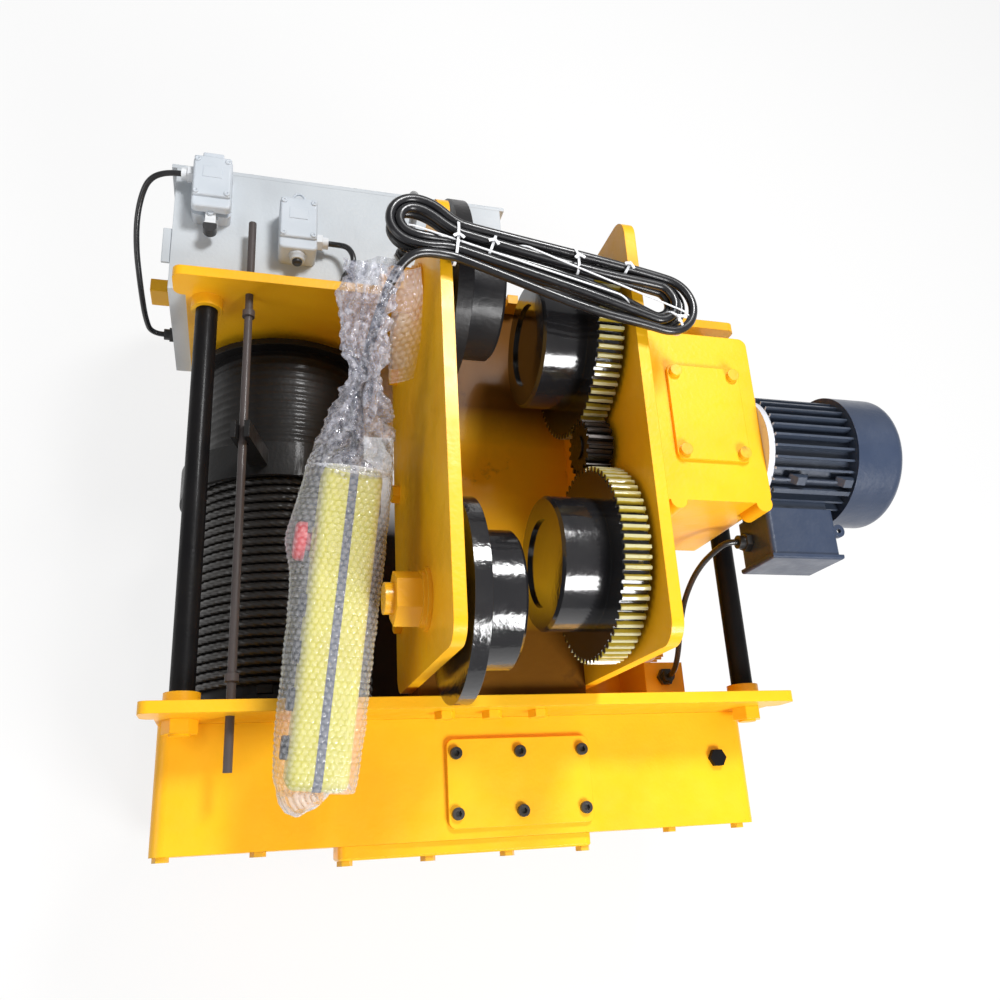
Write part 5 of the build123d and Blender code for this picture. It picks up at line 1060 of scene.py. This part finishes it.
# Rope grooves on the bare part of the drum
GROOVE_FROM = 84
GROOVE_TO = 214
GROOVE_OUT = 103.5
GROOVE_DEEP = 0.6
GROOVE_STEPS = 8  # points of a groove
GROOVE_ROUND = 96  # points round the drum
groove_profile = []
for step in range(round((GROOVE_TO - GROOVE_FROM) / ROPE_PITCH * GROOVE_STEPS) + 1):
    deep = GROOVE_DEEP * abs(cos(pi * step / GROOVE_STEPS))
    groove_profile.append((GROOVE_FROM + step * ROPE_PITCH / GROOVE_STEPS, GROOVE_OUT - deep))
grooves = ring_tube("drum_grooves", lathe((DRUM_X, 0, SHAFT_Z), (0, 1, 0), groove_profile, GROOVE_ROUND))
finish_piece(grooves, greasy, "drum")


# Fittings of the two limit switches: lids, screws, a lug, a plunger guide and a wire arch.
# Places are given from the middle of a switch's top, which is 72 mm long.
SWITCH_TOP = PANEL_TOP + 34
LEFT_SWITCH = Vector((-319, 377, SWITCH_TOP))
RIGHT_SWITCH = Vector((-217.5, 333, SWITCH_TOP))
SWITCH_END = 36
# Blocks: two corners, the radius of the edges and its steps
LID = ((-21.5, -22, -4), (21.5, 35, 3.5), 2.2, 3)
LID_PLATE = ((-11, 4, 3), (11, 20, 4.2), 0.5, 2)
LUG = ((-12, 34, -8), (12, 42, 1), 1.5, 2)
SCREW_X = {"left": -17.5, "right": 17.5}
SCREW_Y = {"near": -17, "far": 29}
SCREW_Z = 3
SCREW_PROFILE = [(0, 3.6), (1.2, 3.6), (1.8, 3.0), (1.8, 1.2), (1.0, 1.0)]
GUIDE_AT = (0, 1 - SWITCH_END, -14)
GUIDE_PROFILE = [(0, 6.5), (0, 10.5), (3, 10.5), (3.6, 8.6), (8.5, 8.6), (9, 8), (9, 6.5)]
ARCH_AT = (0, SWITCH_END - 1, -4)
ARCH_R = 7.5
ARCH_LONG = 1.4  # times as long as it is wide
ARCH_STEPS = 16
ARCH_WIRE = 1.6
ARCH_ROUND = 10
TURNED_ROUND = 32


def fit(made):
    """Gives a fitting of the switches its material."""
    finish_piece(made, ivory)


def switch_block(name, switch, low, high, edge, steps):
    """A block on a switch."""
    fit(block(name, switch + Vector(low), switch + Vector(high), edge, steps))


def switch_turned(name, switch, at, axis, profile):
    """A turned fitting on a switch, closed at both ends."""
    fit(ring_tube(name, lathe(switch + Vector(at), axis, profile, TURNED_ROUND)))


for side, switch in (("left", LEFT_SWITCH), ("right", RIGHT_SWITCH)):
    switch_block(side + "_switch_lid", switch, *LID)
    switch_block(side + "_switch_plate", switch, *LID_PLATE)
    for hand, x in SCREW_X.items():
        for end, y in SCREW_Y.items():
            switch_turned(f"{side}_switch_screw_{end}_{hand}", switch, (x, y, SCREW_Z), UP, SCREW_PROFILE)
switch_block("left_switch_lug", LEFT_SWITCH, *LUG)
switch_turned("plunger_guide", RIGHT_SWITCH, GUIDE_AT, (0, -1, 0), GUIDE_PROFILE)
arch_middle = RIGHT_SWITCH + Vector(ARCH_AT)
arch_rings = []
for step in range(ARCH_STEPS + 1):
    angle = pi * step / ARCH_STEPS
    spot = arch_middle + Vector((ARCH_R * cos(angle), ARCH_LONG * ARCH_R * sin(angle), 0))
    outward = Vector((cos(angle), sin(angle), 0))
    arch_rings.append(circle(spot, outward * ARCH_WIRE, UP * ARCH_WIRE, ARCH_ROUND))
fit(ring_tube("right_switch_arch", arch_rings))

# Small plates on the panel's left wall: two corners and the radius of the edges
PANEL_WALL = PANEL_LEFT - 0.2
BRACKET = ((PANEL_LEFT - 33, 316, -236), (PANEL_WALL, 334, -200), 1.2)
EAR = ((PANEL_LEFT - 10, 283, PANEL_TOP - 5), (PANEL_WALL, 331, PANEL_TOP - 2), 0.8)
finish_piece(block("panel_bracket", *BRACKET), yellow)
finish_piece(block("panel_ear", *EAR), panel_paint)

# Fittings of the trolley motor: a rib and two lugs on its near shoulder, and an eye on the terminal box
MOTOR_TIP = 66  # radius over the fins
SHOULDER = radians(46)  # from straight up towards the near side
shoulder_out = Vector((0, -sin(SHOULDER), cos(SHOULDER)))
shoulder_side = Vector((0, -cos(SHOULDER), -sin(SHOULDER)))
motor_axis = Vector((0, 0, PINION_Z))


def on_shoulder(x, side, out):
    """A point on the motor's shoulder: along the motor, down its side and out from its fins."""
    return (motor_axis + Vector((x, 0, 0)) + shoulder_side * side + shoulder_out * (MOTOR_TIP + out)) * MM


def shoulder_piece(name, start, outline, side, thick):
    """A plate that stands on the motor's shoulder, with an outline along the motor and outwards."""
    rings = [[on_shoulder(start + along, side + step * thick / 2, out) for along, out in outline]
             for step in (-1, 1)]
    finish_piece(ring_tube(name, rings, smooth=False), slate_trim)


FOOT = -3  # out from the fins, where the plates stand between them
# Plates: their outline, their place down the side and how thick they are
RIB = ([(0, FOOT), (98, FOOT), (98, 2.5), (0, 2.5)], 7, 5)
MOTOR_LUG = ([(0, FOOT), (22, FOOT), (16, 6), (6, 6)], -6, 9)
shoulder_piece("motor_rib", 258, *RIB)
shoulder_piece("motor_near_lug", 274, *MOTOR_LUG)
shoulder_piece("motor_far_lug", 330, *MOTOR_LUG)
EYE_AT = (339, -90, 100)
EYE_PROFILE = [(0, 2.6), (0, 7), (5, 7), (5, 2.6)]
EYE_ROUND = 28
eye = ring_tube("box_eye", lathe(EYE_AT, UP, EYE_PROFILE, EYE_ROUND), loop=True, smooth=False)
finish_piece(eye, hood_slate)


# Floor, white all round, with a shadow painted dark under the middle of the hoist
FLOOR_HALF = 6
FLOOR_WHITE = (0.86, 0.86, 0.86)
FLOOR_GLOW = 0.82  # how much of the white is its own light
FLOOR_SHADOW = (0.035, 0.03, 0.028)
FLOOR_SHADOW_MIDDLE = {"X": -0.06, "Y": -0.06}
FLOOR_SHADOW_EDGE = (0.13, 0.26)  # radii, where it begins to fade and where it ends
floor_corners = ((-1, -1), (1, -1), (1, 1), (-1, 1))
floor_points = [(FLOOR_HALF * x, FLOOR_HALF * y, cad_box[0].z) for x, y in floor_corners]
floor = mesh_piece("floor", floor_points, [(0, 1, 2, 3)])
floor_paint, s = new_material("floor_white")
# Painted shadow: dark colour and no glow on the floor under the middle of the hoist
outside_shadow = s.level(s.distance(FLOOR_SHADOW_MIDDLE), *FLOOR_SHADOW_EDGE)
s.feed({"Base Color": s.blend(outside_shadow, FLOOR_SHADOW, FLOOR_WHITE), "Roughness": 0.9})
seen = s.maths("MULTIPLY", s.on_rays("Camera", "Glossy", "Transmission"), FLOOR_GLOW)
glow = s.add("Emission", {"Strength": 1.0})
lit = s.add("MixShader", {"Fac": s.maths("MULTIPLY", outside_shadow, seen), 1: s.last.outputs[0], 2: glow.outputs[0]})
s.feed({"Surface": lit.outputs[0]}, s.tree.nodes["Material Output"])
floor.data.materials.append(floor_paint)

# White all round, dimmer where it lights the object
SKY_LIGHT = 0.34
world = bpy.data.worlds.new("studio")
scene.world = world
s = Shade(world, "Background")
seen = s.on_rays("Camera", "Transmission")
s.feed({"Color": (1, 1, 1, 1), "Strength": s.level(seen, 0, 1, SKY_LIGHT, 1.0)})

# Soft square lamps: where they are, what they point at, their size and their power
LAMPS = {
    "key": ((0.42, 1.0, 1.75), (0, 0, 0), 0.45, 34),
    "front": ((0.62, -1.25, 1.1), (0, -0.1, -0.1), 0.6, 29),
    "left": ((-1.5, -0.5, 0.5), (-0.1, 0, 0), 0.8, 4),
}
for name, (at, aim, size, power) in LAMPS.items():
    light = bpy.data.lights.new(name, "AREA")
    light.energy = power
    light.size = size
    lamp = put(name, light)
    lamp.location = at
    lamp.rotation_mode = "QUATERNION"
    lamp.rotation_quaternion = (Vector(aim) - Vector(at)).to_track_quat("-Z", "Y")

scene.view_settings.view_transform = "Standard"
